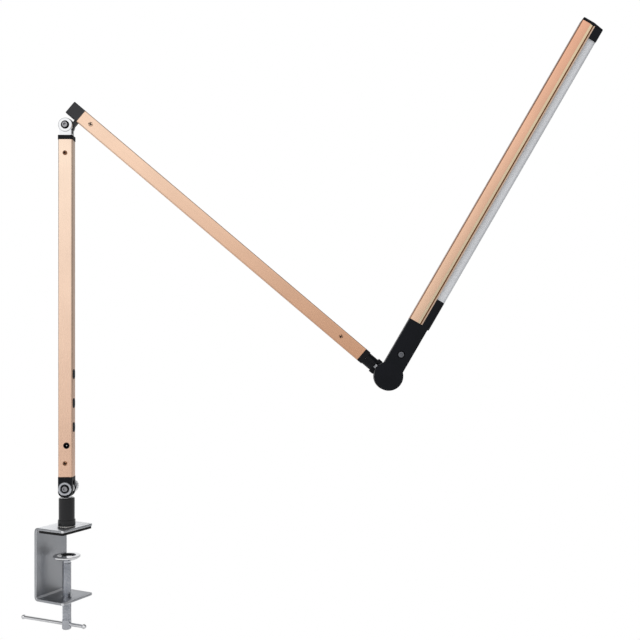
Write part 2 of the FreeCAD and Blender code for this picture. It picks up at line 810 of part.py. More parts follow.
def make_lower_fork():
    """End piece of the lower tube: a plug, a block and two cheeks about the post's eye."""
    body = new_body("lower_fork")
    block = new_sketch(body, "XZ_Plane")
    rectangle(block, "-fork_end", "lower_tube_start", "-fork_half_width", "fork_half_width")
    pad(body, block, "tube_depth", both=True)
    end_x = -size("fork_end")
    dress(body, "Fillet", "fork_round", lambda e: lies_along(e, 1) and near(e.CenterOfMass.x, end_x))
    pad(body, tenon_sketch(body, "lower_tube_start"), "plug_length")
    slot = new_sketch(body, "XY_Plane")
    rectangle(slot, "-fork_end - 1", "fork_slot_depth", "-fork_slot_half", "fork_slot_half")
    pocket(body, slot, "4 * fork_half_width", both=True)
    bore = new_sketch(body, "XZ_Plane")
    circle(bore, "bolt_radius + face_gap")
    pocket(body, bore, "2 * tube_depth", both=True)
    recess = new_sketch(body, "XZ_Plane", "tube_depth / 2")
    circle(recess, "fork_recess_radius")
    pocket(body, recess, "fork_recess")
    screw = new_sketch(body, "XZ_Plane", "tube_depth / 2 - tube_wall - slip")
    circle(screw, "tube_screw_radius + face_gap", "lower_tube_start + lower_screw_low")
    pocket(body, screw, "tube_screw_reach")
    return body


def make_base_ring():
    """Bright cup ring about the hinge's bolt head."""
    body = new_body("base_ring")
    outer = "base_ring_radius"
    inner = "fork_recess_radius"
    top = "base_ring_height"
    edge = "base_ring_edge"
    revolve(body, [
        (inner, "0"),
        (outer, "0"),
        (outer, "%s - %s" % (top, edge)),
        ("%s - %s" % (outer, edge), top),
        ("%s + %s" % (inner, edge), top),
        (inner, "%s - %s" % (top, edge))])
    return body


def make_lower_cap():
    """Cap on the lower tube's top, slotted for the elbow eye's shank and bored for the cable."""
    body = new_body("lower_top_cap")
    start = "lower_tube_start + lower_tube_length"
    sketch = new_sketch(body, "YZ_Plane", start)
    half_depth = "tube_depth / 2 + cap_overhang / 2"
    half_width = "tube_width / 2 + cap_overhang"
    rectangle(sketch, "-(%s)" % half_depth, half_depth, "-(%s)" % half_width, half_width)
    pad(body, sketch, "lower_cap")
    edge_y = size(half_depth)
    dress(body, "Fillet", "tube_corner",
          lambda e: lies_along(e, 0) and near(abs(e.CenterOfMass.y), edge_y))
    pad(body, tenon_sketch(body, start), "plug_length", back=True)
    shank = new_sketch(body, "XZ_Plane", "tube_depth / 2 - tube_wall - slip")
    rectangle(shank, start + " - plug_length - 1", start + " + lower_cap + 1",
              "-elbow_shank_width / 2 + tube_wall", "elbow_shank_width / 2 - tube_wall")
    pocket(body, shank, "tube_depth / 2 - tube_wall - slip - 2 * face_gap")
    hole = new_sketch(body, "YZ_Plane", start + " + lower_cap")
    circle(hole, "cable_radius + slip", "(tube_depth / 2 - tube_wall) / 2")
    pocket(body, hole, "lower_cap + plug_length + 1")
    return body


def make_elbow_eye():
    """Bright fork of the elbow: two round cheeks on a flat shank that is screwed inside the lower tube."""
    body = new_body("elbow_eye")
    cheeks = new_sketch(body, "XZ_Plane")
    circle(cheeks, "elbow_cheek_radius")
    pad(body, cheeks, "tube_depth", both=True)
    rim_y = size("tube_depth / 2")
    dress(body, "Fillet", "elbow_edge",
          lambda e: e.Curve.TypeId == "Part::GeomCircle" and near(abs(e.CenterOfMass.y), rim_y))
    stem = new_sketch(body, "XZ_Plane")
    rectangle(stem, "-elbow_above_cap", "0", "-elbow_shank_width / 2", "elbow_shank_width / 2")
    pad(body, stem, "tube_depth - 2 * elbow_stem_in", both=True)
    slot = new_sketch(body, "XZ_Plane")
    reach = "elbow_radius + elbow_slot_gap"
    rectangle(slot, "-(%s)" % reach, reach, "-(%s)" % reach, reach)
    pocket(body, slot, "elbow_middle + 2 * friction_washer", both=True)
    blade = new_sketch(body, "XZ_Plane", "tube_depth / 2 - tube_wall - slip")
    rectangle(blade, "-elbow_above_cap - elbow_shank_reach", "-elbow_above_cap",
              "-elbow_shank_width / 2 + tube_wall + face_gap",
              "elbow_shank_width / 2 - tube_wall - face_gap")
    pad(body, blade, "tube_depth / 2 - tube_wall - slip - friction_washer", back=True)
    recess = new_sketch(body, "XZ_Plane", "tube_depth / 2")
    circle(recess, "elbow_recess_radius")
    pocket(body, recess, "elbow_recess")
    bore = new_sketch(body, "XZ_Plane")
    circle(bore, "bolt_radius + face_gap")
    pocket(body, bore, "2 * tube_depth", both=True)
    screw = new_sketch(body, "XZ_Plane", "tube_depth / 2 - tube_wall - slip")
    circle(screw, "tube_screw_radius + face_gap", "-elbow_above_cap - lower_cap - lower_screw_high")
    pocket(body, screw, "tube_screw_reach")
    return body


def make_dc_jack():
    """Round power inlet through the tube's front wall, open to the front."""
    body = new_body("dc_jack")
    revolve(body, [
        ("0", "-jack_depth"),
        ("jack_radius", "-jack_depth"),
        ("jack_radius", "jack_lip - 0.3"),
        ("jack_radius - 0.3", "jack_lip"),
        ("jack_bore_radius", "jack_lip"),
        ("jack_bore_radius", "-jack_bore_depth"),
        ("0", "-jack_bore_depth")])
    return body


def make_jack_pin():
    body = new_body("dc_jack_pin")
    revolve(body, [
        ("0", "-jack_bore_depth"),
        ("jack_pin_radius", "-jack_bore_depth"),
        ("jack_pin_radius", "-1.4"),
        ("jack_pin_radius * 0.6", "-1"),
        ("0", "-1")])
    return body


def make_control_board():
    body = new_body("control_board")
    sketch = new_sketch(body, "XY_Plane")
    half = "tube_depth / 2 - tube_wall - slip"
    rectangle(sketch, "control_start", "control_start + control_length", "-(%s)" % half, half)
    pad(body, sketch, "control_wall")
    return body


def make_button(label):
    """Oval cap that stands through the tube's side wall, with a foot that keeps it in."""
    body = new_body(label)
    foot = new_sketch(body, "XY_Plane")
    long_hole(foot, "button_length + 2 * button_flange", "button_width + 2 * button_flange", "0", "0")
    pad(body, foot, "button_flange_wall")
    cap = new_sketch(body, "XY_Plane")
    long_hole(cap, "button_length - 2 * button_play", "button_width - 2 * button_play", "0", "0")
    pad(body, cap, "button_flange_wall + button_play + tube_wall + button_proud")
    top_z = size("button_flange_wall + button_play + tube_wall + button_proud")
    dress(body, "Fillet", "button_proud * 0.8",
          lambda e: near(e.BoundBox.ZMin, top_z) and near(e.BoundBox.ZMax, top_z))
    return body


def make_cable(label, length):
    body = new_body(label)
    sketch = new_sketch(body, "YZ_Plane")
    circle(sketch, "cable_radius")
    pad(body, sketch, length)
    return body


fork_front = size("tube_depth / 2")
keep(make_lower_tube(), at(lower_frame, size("lower_tube_start")))
keep(make_lower_fork(), lower_frame)
keep(make_base_ring(), at(lower_frame, 0, -fork_front, 0, Z_TO_FRONT))
knob_seat = "hinge_washer + 2 * face_gap"
bolt_grip = "tube_depth - fork_recess + %s + knob_collar + knob_grip - knob_wall" % knob_seat
keep(make_bolt("base_bolt", bolt_grip),
     at(lower_frame, 0, -fork_front + size("fork_recess - bolt_head"), 0, Z_TO_FRONT))
washers = []
for number, side in enumerate((-1, 1)):
    washer = ring("base_friction_washer_%d" % number, "base_eye_radius - 0.5", "bolt_radius + play",
                  "friction_washer")
    shift = size("fork_slot_half") if side < 0 else size("fork_slot_half - friction_washer")
    washer.Placement = at(lower_frame, 0, side * shift, 0, Z_TO_BACK)
    washers.append(washer)
keep(group("base_friction_washers", washers))
keep(ring("base_washer", "hinge_washer_radius", "bolt_radius + play", "hinge_washer"),
     at(lower_frame, 0, fork_front, 0, Z_TO_BACK))
knob_engaged = "knob_collar + knob_grip - knob_wall + slip"
keep(make_knob("base_knob", knob_engaged), at(lower_frame, 0, fork_front + size(knob_seat), 0, Z_TO_BACK))
keep(make_lower_cap(), lower_frame)
elbow_frame = at(lower_frame, size(elbow_place))
keep(make_elbow_eye(), elbow_frame)
keep(make_tube_screws("lower_tube_screws", lower_frame, [
    "lower_tube_start + lower_screw_low", lower_tube_end + " - lower_screw_high"]))
jack_spot = at(lower_frame, size("jack_place"), -fork_front, -size("jack_offset"), Z_TO_FRONT)
keep(make_dc_jack(), jack_spot)
keep(make_jack_pin(), jack_spot)

# the side with the buttons is the arm frame's -Z side; pieces stack inwards from its wall
button_foot = size("tube_width / 2 - tube_wall - button_play - button_flange_wall")
switch_foot = button_foot - size("switch_gap + switch_height")
board_foot = switch_foot - size("control_wall")
side_turn = Rotation(Vector(1, 0, 0), 180)
keep(make_control_board(), at(lower_frame, 0, 0, -board_foot, side_turn))
switches = []
for label, place in (("button_upper", "button_top"), ("button_middle", "button_mid"),
                     ("button_lower", "button_low")):
    upright = Rotation(Vector(0, 0, 1), 90)
    keep(make_button(label), at(lower_frame, size(place), 0, -button_foot, side_turn.multiply(upright)))
    switch = new_body(label + "_switch")
    face = new_sketch(switch, "XY_Plane")
    rectangle(face, "-switch_side / 2", "switch_side / 2", "-switch_side / 2", "switch_side / 2")
    pad(switch, face, "switch_height")
    switch.Placement = at(lower_frame, size(place), 0, -switch_foot, side_turn)
    switches.append(switch)
keep(group("tact_switches", switches))
cable_y = size("(tube_depth / 2 - tube_wall) / 2")
control_end = "control_start + control_length"
keep(make_cable("lower_cable", "%s + lower_cap - (%s)" % (lower_tube_end, control_end)),
     at(lower_frame, size(control_end), cable_y, 0))


# ---------------------------------------------------------------- elbow hardware and upper arm
def make_elbow_knuckle():
    """Black end piece of the upper tube: a plug, a cap and the elbow's middle eye below it."""
    body = new_body("elbow_knuckle")
    cap = new_sketch(body, "YZ_Plane", "-elbow_cap_behind")
    half_depth = "tube_depth / 2"
    rectangle(cap, "-" + half_depth, half_depth,
              "elbow_offset - tube_width / 2", "elbow_offset + tube_width / 2")
    pad(body, cap, "elbow_cap_behind + elbow_cap_ahead")
    edge_y = size(half_depth)
    dress(body, "Fillet", "tube_corner",
          lambda e: lies_along(e, 0) and near(abs(e.CenterOfMass.y), edge_y))
    plug = new_sketch(body, "YZ_Plane", "elbow_cap_ahead")
    inside = "tube_depth / 2 - tube_wall - slip"
    rectangle(plug, "-(%s)" % inside, inside,
              "elbow_offset - tube_width / 2 + tube_wall + slip",
              "elbow_offset + tube_width / 2 - tube_wall - slip")
    pad(body, plug, "plug_length")
    eye = new_sketch(body, "XZ_Plane")
    circle(eye, "elbow_radius")
    pad(body, eye, "elbow_middle", both=True)
    link = new_sketch(body, "XZ_Plane")
    rectangle(link, "elbow_cap_ahead - elbow_link", "elbow_cap_ahead", "0", "elbow_offset")
    pad(body, link, "elbow_middle", both=True)
    bore = new_sketch(body, "XZ_Plane")
    circle(bore, "bolt_radius + play")
    pocket(body, bore, "2 * tube_depth", both=True)
    lead = new_sketch(body, "YZ_Plane", "elbow_cap_ahead + plug_length")
    circle(lead, "cable_radius + slip", "(tube_depth / 2 - tube_wall) / 2", "elbow_offset")
    pocket(body, lead, "plug_length + elbow_cap_ahead")
    screw = new_sketch(body, "XZ_Plane", "tube_depth / 2 - tube_wall - slip")
    circle(screw, "tube_screw_radius + face_gap", "elbow_cap_ahead + upper_screw_first", "elbow_offset")
    pocket(body, screw, "tube_screw_reach")
    return body


def make_nut(label):
    """Hexagon lock nut that holds the elbow together at the back."""
    body = new_body(label)
    flats = new_sketch(body, "XY_Plane")
    hexagon(flats, "nut_radius")
    pad(body, flats, "nut_height")
    bore = new_sketch(body, "XY_Plane")
    circle(bore, "bolt_radius + face_gap")
    pocket(body, bore, "nut_height", back=True)
    return body


def make_upper_tube():
    body = make_tube("upper_tube", "upper_reach - wrist_gap - elbow_cap_ahead")
    front_hole(body, "tube_screw_radius + face_gap", "upper_screw_first")
    front_hole(body, "tube_screw_radius + face_gap",
               "upper_reach - wrist_gap - elbow_cap_ahead - upper_screw_last")
    return body


def make_upper_plug():
    """Collar and plug at the wrist end, bored for the swivel pin. Origin at the wrist pivot."""
    body = new_body("upper_end_plug")
    half_depth = "tube_depth / 2"
    half_width = "tube_width / 2"
    collar = new_sketch(body, "YZ_Plane", "-wrist_gap")
    rectangle(collar, "-" + half_depth, half_depth, "-" + half_width, half_width)
    pad(body, collar, "wrist_collar")
    edge_y = size(half_depth)
    dress(body, "Fillet", "tube_corner",
          lambda e: lies_along(e, 0) and near(abs(e.CenterOfMass.y), edge_y))
    pad(body, tenon_sketch(body, "-wrist_gap"), "wrist_plug_length", back=True)
    bore = new_sketch(body, "YZ_Plane", "-wrist_gap + wrist_collar")
    circle(bore, "pin_thin_radius + play")
    pocket(body, bore, "wrist_collar + wrist_plug_length + 1")
    screw = new_sketch(body, "XZ_Plane", "tube_depth / 2 - tube_wall - slip")
    circle(screw, "tube_screw_radius + face_gap", "-wrist_gap - upper_screw_last")
    pocket(body, screw, "tube_screw_reach")
    return body


elbow_floor = -fork_front + size("elbow_recess")
keep(ring("elbow_seat_washer", "elbow_recess_radius - slip", "bolt_radius + face_gap", "elbow_seat"),
     at(elbow_frame, 0, elbow_floor, 0, Z_TO_FRONT))
keep(make_bolt("elbow_bolt", "tube_depth - elbow_recess + elbow_seat + hinge_washer + nut_height"),
     at(elbow_frame, 0, elbow_floor - size("elbow_seat + bolt_head"), 0, Z_TO_FRONT))
elbow_washers = []
for side, turn in (("front", Z_TO_FRONT), ("back", Z_TO_BACK)):
    washer = ring("elbow_washer_" + side, "elbow_cheek_radius - 0.6", "bolt_radius + play",
                  "friction_washer - face_gap")
    out = size("elbow_middle / 2 + face_gap / 2")
    washer.Placement = at(elbow_frame, 0, out if side == "back" else -out, 0, turn)
    elbow_washers.append(washer)
keep(group("elbow_friction_washers", elbow_washers))
keep(ring("elbow_washer", "hinge_washer_radius", "bolt_radius + face_gap", "hinge_washer"),
     at(elbow_frame, 0, fork_front + size("face_gap"), 0, Z_TO_BACK))
keep(make_nut("elbow_nut"), at(elbow_frame, 0, fork_front + size(knob_seat), 0, Z_TO_BACK))
keep(make_elbow_knuckle(), upper_frame)
keep(make_upper_tube(), at(upper_frame, size("elbow_cap_ahead"), 0, size("elbow_offset")))
keep(make_upper_plug(), wrist_frame)
keep(make_tube_screws("upper_tube_screws", at(upper_frame, 0, 0, size("elbow_offset")), [
    "elbow_cap_ahead + upper_screw_first", "upper_reach - wrist_gap - upper_screw_last"]))
upper_cable_length = "upper_reach - wrist_gap - wrist_plug_length - elbow_cap_ahead - 4 * clip_thickness"
keep(make_cable("upper_cable", upper_cable_length),
     at(upper_frame, size("elbow_cap_ahead"), cable_y, size("elbow_offset")))


# ---------------------------------------------------------------- wrist
def make_wrist_swivel():
    """Grooved sleeve, windowed flange and the rear barrel of the head's hinge, in one casting."""
    body = new_body("wrist_swivel")
    sleeve = new_sketch(body, "YZ_Plane", "-sleeve_start")
    circle(sleeve, "sleeve_radius")
    pad(body, sleeve, "sleeve_start - flange_start")
    for share in (0.22, 0.5, 0.78):
        place = "-sleeve_start + (sleeve_start - flange_start) * %s" % share
        band = new_sketch(body, "YZ_Plane", place)
        circle(band, "sleeve_radius + 1")
        circle(band, "sleeve_radius - sleeve_groove")
        pocket(body, band, "sleeve_groove", both=True)
    flange = new_sketch(body, "YZ_Plane", "-flange_start")
    rectangle(flange, "-flange_half_depth", "flange_half_depth", "-flange_half_width", "flange_half_width")
    pad(body, flange, "flange_start - flange_end")
    reach_y = size("flange_half_depth")
    dress(body, "Fillet", "tube_corner",
          lambda e: lies_along(e, 0) and near(abs(e.CenterOfMass.y), reach_y))
    web = new_sketch(body, "XZ_Plane", "flange_half_depth - tube_corner")
    rectangle(web, "-flange_end", "0", "-flange_half_width + 0.6", "flange_half_width - 0.6")
    pad(body, web, "flange_half_depth - tube_corner + barrel_back", back=True)
    barrel = new_sketch(body, "XZ_Plane", "barrel_front")
    circle(barrel, "barrel_radius")
    pad(body, barrel, "barrel_front + barrel_back", back=True)
    back_y = size("barrel_back")
    dress(body, "Fillet", "barrel_edge",
          lambda e: e.Curve.TypeId == "Part::GeomCircle" and near(e.CenterOfMass.y, back_y)
          and near(e.Curve.Radius, size("barrel_radius")))
    bore = new_sketch(body, "XZ_Plane")
    circle(bore, "pivot_radius + play")
    pocket(body, bore, "4 * barrel_front", both=True)
    seat = new_sketch(body, "XZ_Plane", "-barrel_back")
    circle(seat, "pivot_head_radius + 2 * slip")
    pocket(body, seat, "pivot_head + face_gap + slip", back=True)
    hole = new_sketch(body, "YZ_Plane", "-sleeve_start")
    circle(hole, "pin_radius + face_gap")
    pocket(body, hole, "sleeve_start - flange_end + 1", back=True)
    window = new_sketch(body, "XZ_Plane", "flange_half_depth + 1")
    middle = "-(flange_start + flange_end) / 2"
    rectangle(window, middle + " - window_length / 2", middle + " + window_length / 2",
              "-window_width / 2", "window_width / 2")
    pocket(body, window, "flange_half_depth + 1 - pin_radius + 1.6")
    return body


def make_swivel_pin():
    """Hollow steel pin: thick in the casting, thin through the tube's plug."""
    body = new_body("swivel_pin")
    thick_end = "-flange_end + 0.9"
    step = "-sleeve_start + 0.2"
    tail = "-wrist_gap - wrist_plug_length - clip_thickness - 1.2"
    revolve(body, [
        ("pin_bore_radius", tail),
        ("pin_thin_radius", tail),
        ("pin_thin_radius", step),
        ("pin_radius", step),
        ("pin_radius", thick_end),
        ("pin_bore_radius", thick_end)])
    return body


def make_pivot_bolt():
    """Bolt of the head's hinge: head at the back, shank forward along +Z."""
    body = new_body("pivot_bolt")
    shank = "barrel_front + barrel_back - slip + head_depth * 0.6"
    revolve(body, [
        ("0", "0"),
        ("pivot_head_radius", "0"),
        ("pivot_head_radius", "pivot_head"),
        ("pivot_radius", "pivot_head"),
        ("pivot_radius", shank),
        ("0", shank)])
    socket = new_sketch(body, "XY_Plane")
    hexagon(socket, "socket_radius")
    pocket(body, socket, "socket_depth", back=True)
    return body


keep(make_wrist_swivel(), wrist_frame)
keep(make_swivel_pin(), at(wrist_frame, turn=Z_TO_X))
keep(ring("swivel_clip", "clip_radius", "pin_thin_radius + face_gap", "clip_thickness"),
     at(wrist_frame, -size("wrist_gap + wrist_plug_length + clip_thickness + face_gap"), 0, 0, Z_TO_X))
keep(ring("pivot_washer", "pivot_washer_radius", "pivot_radius + play", "pivot_washer"),
     at(wrist_frame, 0, -size("barrel_front + face_gap"), 0, Z_TO_FRONT))
keep(make_pivot_bolt(), at(wrist_frame, 0, size("barrel_back - slip"), 0, Z_TO_FRONT))


# ---------------------------------------------------------------- light bar
groove_top = "head_top - head_side"
groove_foot = groove_top + " - head_groove"
channel_foot = groove_foot + " - head_lip"
head_foot = channel_foot + " - diffuser_drop"


def make_head_neck():
    """Disc, neck and plug of the light bar, with a tongue that covers the diffuser's end."""
    body = new_body("head_neck")
    block = new_sketch(body, "XZ_Plane")
    rectangle(block, "0", "head_start", "-neck_half_width", "neck_half_width")
    pad(body, block, "head_depth", both=True)
    reach_y = size("head_depth / 2")
    dress(body, "Fillet", "neck_edge",
          lambda e: lies_along(e, 0) and near(abs(e.CenterOfMass.y), reach_y))
    disc = new_sketch(body, "XZ_Plane", "head_depth / 2")
    circle(disc, "disc_radius")
    pad(body, disc, "head_depth", back=True)
    plug = new_sketch(body, "YZ_Plane", "head_start")
    half = "head_depth / 2 - head_wall - slip"
    rectangle(plug, "-(%s)" % half, half, "web_height + slip", "head_top - head_wall - slip")
    pad(body, plug, "neck_plug")
    tongue = new_sketch(body, "YZ_Plane", "head_start - 1")
    slant = "diffuser_round * 0.6"
    outline(tongue, [
        ("-diffuser_half_width", channel_foot + " + diffuser_hold - 1"),
        ("-diffuser_half_width", head_foot + " + " + slant),
        ("-diffuser_half_width + " + slant, head_foot),
        ("diffuser_half_width - " + slant, head_foot),
        ("diffuser_half_width", head_foot + " + " + slant),
        ("diffuser_half_width", channel_foot + " + diffuser_hold - 1")])
    pad(body, tongue, "neck_tongue + 1")
    shoulder = new_sketch(body, "YZ_Plane", "head_start")
    wide = "head_depth / 2 - 0.4"
    rectangle(shoulder, "-(%s)" % wide, wide, "-neck_half_width + neck_edge", channel_foot + " - face_gap")
    pad(body, shoulder, "neck_tongue - 1")
    pivot = new_sketch(body, "XZ_Plane", "-head_depth / 2")
    circle(pivot, "pivot_radius + face_gap")
    pocket(body, pivot, "head_depth * 0.7", back=True)
    recess = new_sketch(body, "XZ_Plane", "head_depth / 2")
    circle(recess, "neck_screw_recess_radius", "neck_screw_place")
    pocket(body, recess, "neck_screw_recess")
    hole = new_sketch(body, "XZ_Plane", "head_depth / 2 - neck_screw_recess")
    circle(hole, "neck_screw_radius + face_gap", "neck_screw_place")
    pocket(body, hole, "neck_screw_length")
    return body


def make_neck_screw():
    body = new_body("neck_screw")
    revolve(body, [
        ("0", "-neck_screw_length + 0.5"),
        ("neck_screw_radius", "-neck_screw_length + 0.5"),
        ("neck_screw_radius", "0"),
        ("neck_screw_head_radius", "0"),
        ("neck_screw_head_radius", "neck_screw_head * 0.6"),
        ("neck_screw_head_radius * 0.75", "neck_screw_head"),
        ("0", "neck_screw_head")])
    socket = new_sketch(body, "XY_Plane", "neck_screw_head")
    hexagon(socket, "socket_radius")
    pocket(body, socket, "neck_screw_head * 0.7")
    return body


def make_channel():
    """Extruded channel: smooth side, slanted band, groove and lip, with an inner web for the board."""
    body = new_body("head_channel")
    half = "head_depth / 2"
    slant = half + " - head_bevel_in"
    notch = half + " - head_groove_in"
    inner = half + " - head_wall"
    web_foot = "web_height - web_wall"
    right = [
        (half, "head_top"),
        (half, groove_top + " + head_bevel"),
        (slant, groove_top),
        (notch, groove_top),
        (notch, groove_foot),
        (half, groove_foot),
        (half, channel_foot),
        (inner, channel_foot),
        (inner, web_foot)]
    left = [("-(%s)" % y, z) for y, z in reversed(right)]
    section = new_sketch(body, "YZ_Plane", "head_start")
    outline(section, right + left)
    rectangle(section, "-(%s)" % inner, inner, "web_height", "head_top - head_wall")
    pad(body, section, "head_length - end_plate - head_start")
    top_z = size("head_top")
    dress(body, "Fillet", "head_corner",
          lambda e: lies_along(e, 0) and near(e.CenterOfMass.z, top_z))
    return body


def make_diffuser():
    """Milky trough that stands out below the channel."""
    body = new_body("diffuser")
    start = "head_start + neck_tongue + slip"
    inner = "diffuser_half_width - diffuser_wall"
    section = new_sketch(body, "YZ_Plane", start)
    rim = channel_foot + " + diffuser_hold"
    floor_in = head_foot + " + diffuser_wall"
    outline(section, [
        ("-diffuser_half_width", rim),
        ("-diffuser_half_width", head_foot),
        ("diffuser_half_width", head_foot),
        ("diffuser_half_width", rim),
        (inner, rim),
        (inner, floor_in),
        ("-(%s)" % inner, floor_in),
        ("-(%s)" % inner, rim)])
    pad(body, section, "head_length - end_tongue - slip - (%s)" % start)
    foot_z = size(head_foot)
    floor_z = size(floor_in)
    dress(body, "Fillet", "diffuser_round",
          lambda e: lies_along(e, 0) and near(e.CenterOfMass.z, foot_z))
    dress(body, "Fillet", "diffuser_round - diffuser_wall",
          lambda e: lies_along(e, 0) and near(e.CenterOfMass.z, floor_z))
    return body


def make_end_cap():
    """Cap on the bar's tip: a plate over the channel and a tongue over the diffuser's end."""
    body = new_body("head_end_cap")
    plate = new_sketch(body, "YZ_Plane", "head_length - end_plate")
    half = "head_depth / 2"
    rectangle(plate, "-" + half, half, head_foot, "head_top")
    pad(body, plate, "end_plate")
    corner_z = (size(head_foot), size("head_top"))
    dress(body, "Fillet", "head_corner",
          lambda e: lies_along(e, 0) and (near(e.CenterOfMass.z, corner_z[0]) or near(e.CenterOfMass.z, corner_z[1])))
    plug = new_sketch(body, "YZ_Plane", "head_length - end_plate")
    inside = "head_depth / 2 - head_wall - slip"
    rectangle(plug, "-(%s)" % inside, inside, "web_height + slip", "head_top - head_wall - slip")
    pad(body, plug, "end_plug", back=True)
    tongue = new_sketch(body, "YZ_Plane", "head_length - end_plate")
    wide = "head_depth / 2 - 0.4"
    rectangle(tongue, "-(%s)" % wide, wide, head_foot, channel_foot + " - face_gap")
    pad(body, tongue, "end_tongue - end_plate", back=True)
    keel = new_sketch(body, "YZ_Plane", "head_length - end_plate")
    rectangle(keel, "-diffuser_half_width", "diffuser_half_width",
              head_foot, channel_foot + " + diffuser_hold - 1")
    pad(body, keel, "end_tongue - end_plate - 1", back=True)
    slope = new_sketch(body, "XZ_Plane")
    outline(slope, [
        ("head_length", groove_top),
        ("head_length - end_slope", head_foot),
        ("head_length - end_slope", head_foot + " - 1"),
        ("head_length + 1", head_foot + " - 1"),
        ("head_length + 1", groove_top)])
    pocket(body, slope, "2 * head_depth", both=True)
    return body


def make_led_board():
    body = new_body("led_board")
    sketch = new_sketch(body, "XY_Plane", "web_height - web_wall - board_wall")
    rectangle(sketch, "head_start + neck_tongue - 6", "head_length - end_tongue + 4",
              "-board_width / 2", "board_width / 2")
    pad(body, sketch, "board_wall")
    return body


def make_led_chips():
    """Row of light chips on the board's lower face, one separate solid each."""
    start = size("head_start + neck_tongue")
    run = size("head_length - end_tongue") - start
    side = size("chip_side")
    pitch = size("chip_pitch")
    count = int((run - side) // pitch) + 1
    first = start + (run - (count - 1) * pitch) / 2
    top = size("web_height - web_wall - board_wall")
    chips = []
    for number in range(count):
        corner = Vector(first + number * pitch - side / 2, -side / 2, top - size("chip_height"))
        chips.append(Part.makeBox(side, side, size("chip_height"), corner))
    holder = doc.addObject("Part::Feature", "led_chips")
    holder.Label = "led_chips"
    holder.Shape = Part.makeCompound(chips)
    return holder


keep(make_head_neck(), head_frame)
neck_floor = size("neck_screw_recess - head_depth / 2")
keep(make_neck_screw(), at(head_frame, size("neck_screw_place"), neck_floor, 0, Z_TO_FRONT))
keep(make_channel(), head_frame)
keep(make_diffuser(), head_frame)
keep(make_end_cap(), head_frame)
keep(make_led_board(), head_frame)
keep(make_led_chips(), head_frame)

# ---------------------------------------------------------------- checks and export
doc.recompute()
for thing in doc.Objects:
    if "Invalid" in thing.State or "Error" in thing.State:
        raise RuntimeError("%s did not build" % thing.Label)
os.makedirs("parts", exist_ok=True)
for piece in PARTS:
    shape = piece.Shape
    if shape.isNull() or not shape.isValid() or not shape.Solids:
        raise RuntimeError("%s has no sound solid" % piece.Label)
    shape.exportStep(os.path.join("parts", piece.Label + ".step"))
print("%d pieces written" % len(PARTS))
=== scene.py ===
import json
import math

import bmesh
import bpy
from mathutils import Matrix, Vector


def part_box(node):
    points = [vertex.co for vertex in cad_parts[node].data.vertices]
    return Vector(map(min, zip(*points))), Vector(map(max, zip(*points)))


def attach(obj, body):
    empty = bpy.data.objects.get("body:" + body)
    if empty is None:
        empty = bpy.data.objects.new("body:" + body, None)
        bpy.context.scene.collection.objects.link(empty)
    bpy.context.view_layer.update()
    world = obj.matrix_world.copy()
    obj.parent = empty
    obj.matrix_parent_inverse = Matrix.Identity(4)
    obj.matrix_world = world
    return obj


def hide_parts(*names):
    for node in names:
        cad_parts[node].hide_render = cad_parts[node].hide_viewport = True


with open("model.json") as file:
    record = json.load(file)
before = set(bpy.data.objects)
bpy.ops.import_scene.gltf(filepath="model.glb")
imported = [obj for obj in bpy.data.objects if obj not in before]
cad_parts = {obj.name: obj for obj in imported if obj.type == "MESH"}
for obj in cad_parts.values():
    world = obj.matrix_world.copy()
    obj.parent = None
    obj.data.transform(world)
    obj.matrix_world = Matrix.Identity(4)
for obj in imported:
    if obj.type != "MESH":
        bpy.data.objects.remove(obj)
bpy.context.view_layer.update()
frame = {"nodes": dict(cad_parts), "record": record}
cadNodes = frame["nodes"]
millimetre = 0.001
quarterTurn = math.radians(90)
print("frame loaded:", len(cadNodes), "nodes")

# camera: level, at the height of the lamp's lower third, lens shifted up as in the photograph
camera = {
    "place": (0.2786, -0.880, 0.1878),
    "lens": 45.0,
    "sensor": 36.0,
    "shiftUp": 0.0625,
    "near": 0.01,
    "far": 20,
}


def addCamera():
    data = bpy.data.cameras.new("studioCamera")
    data.lens = camera["lens"]
    data.sensor_width = camera["sensor"]
    data.shift_y = camera["shiftUp"]
    data.clip_start = camera["near"]
    data.clip_end = camera["far"]
    holder = bpy.data.objects.new("studioCamera", data)
    bpy.context.scene.collection.objects.link(holder)
    holder.location = camera["place"]
    holder.rotation_euler = (quarterTurn, 0, 0)
    bpy.context.scene.camera = holder


addCamera()
print("camera placed")


# ---- finishes
def tone(red, green, blue):
    # screen colour 0-255 to the linear colour that a shader takes
    def line(v):
        v = v / 255
        return v / 12.92 if v <= 0.04045 else ((v + 0.055) / 1.055) ** 2.4
    return (line(red), line(green), line(blue), 1)


def startFinish(name):
    finish = bpy.data.materials.new(name)
    finish.use_nodes = True
    tree = finish.node_tree
    shader = tree.nodes["Principled BSDF"]
    return finish, tree, shader


fieldRange = (0.3, 0.7)      # where most of a noise field lies


def grainField(tree, scale, detail, stretch=(1, 1, 1), turn=(0, 0, 0)):
    # noise on the piece's own coordinates, drawn out along one direction
    place = tree.nodes.new("ShaderNodeTexCoord")
    lay = tree.nodes.new("ShaderNodeMapping")
    lay.vector_type = "TEXTURE"
    lay.inputs["Rotation"].default_value = [math.radians(a) for a in turn]
    lay.inputs["Scale"].default_value = stretch
    noise = tree.nodes.new("ShaderNodeTexNoise")
    noise.inputs["Scale"].default_value = scale
    noise.inputs["Detail"].default_value = detail
    tree.links.new(place.outputs["Object"], lay.inputs["Vector"])
    tree.links.new(lay.outputs["Vector"], noise.inputs["Vector"])
    return noise.outputs["Fac"]


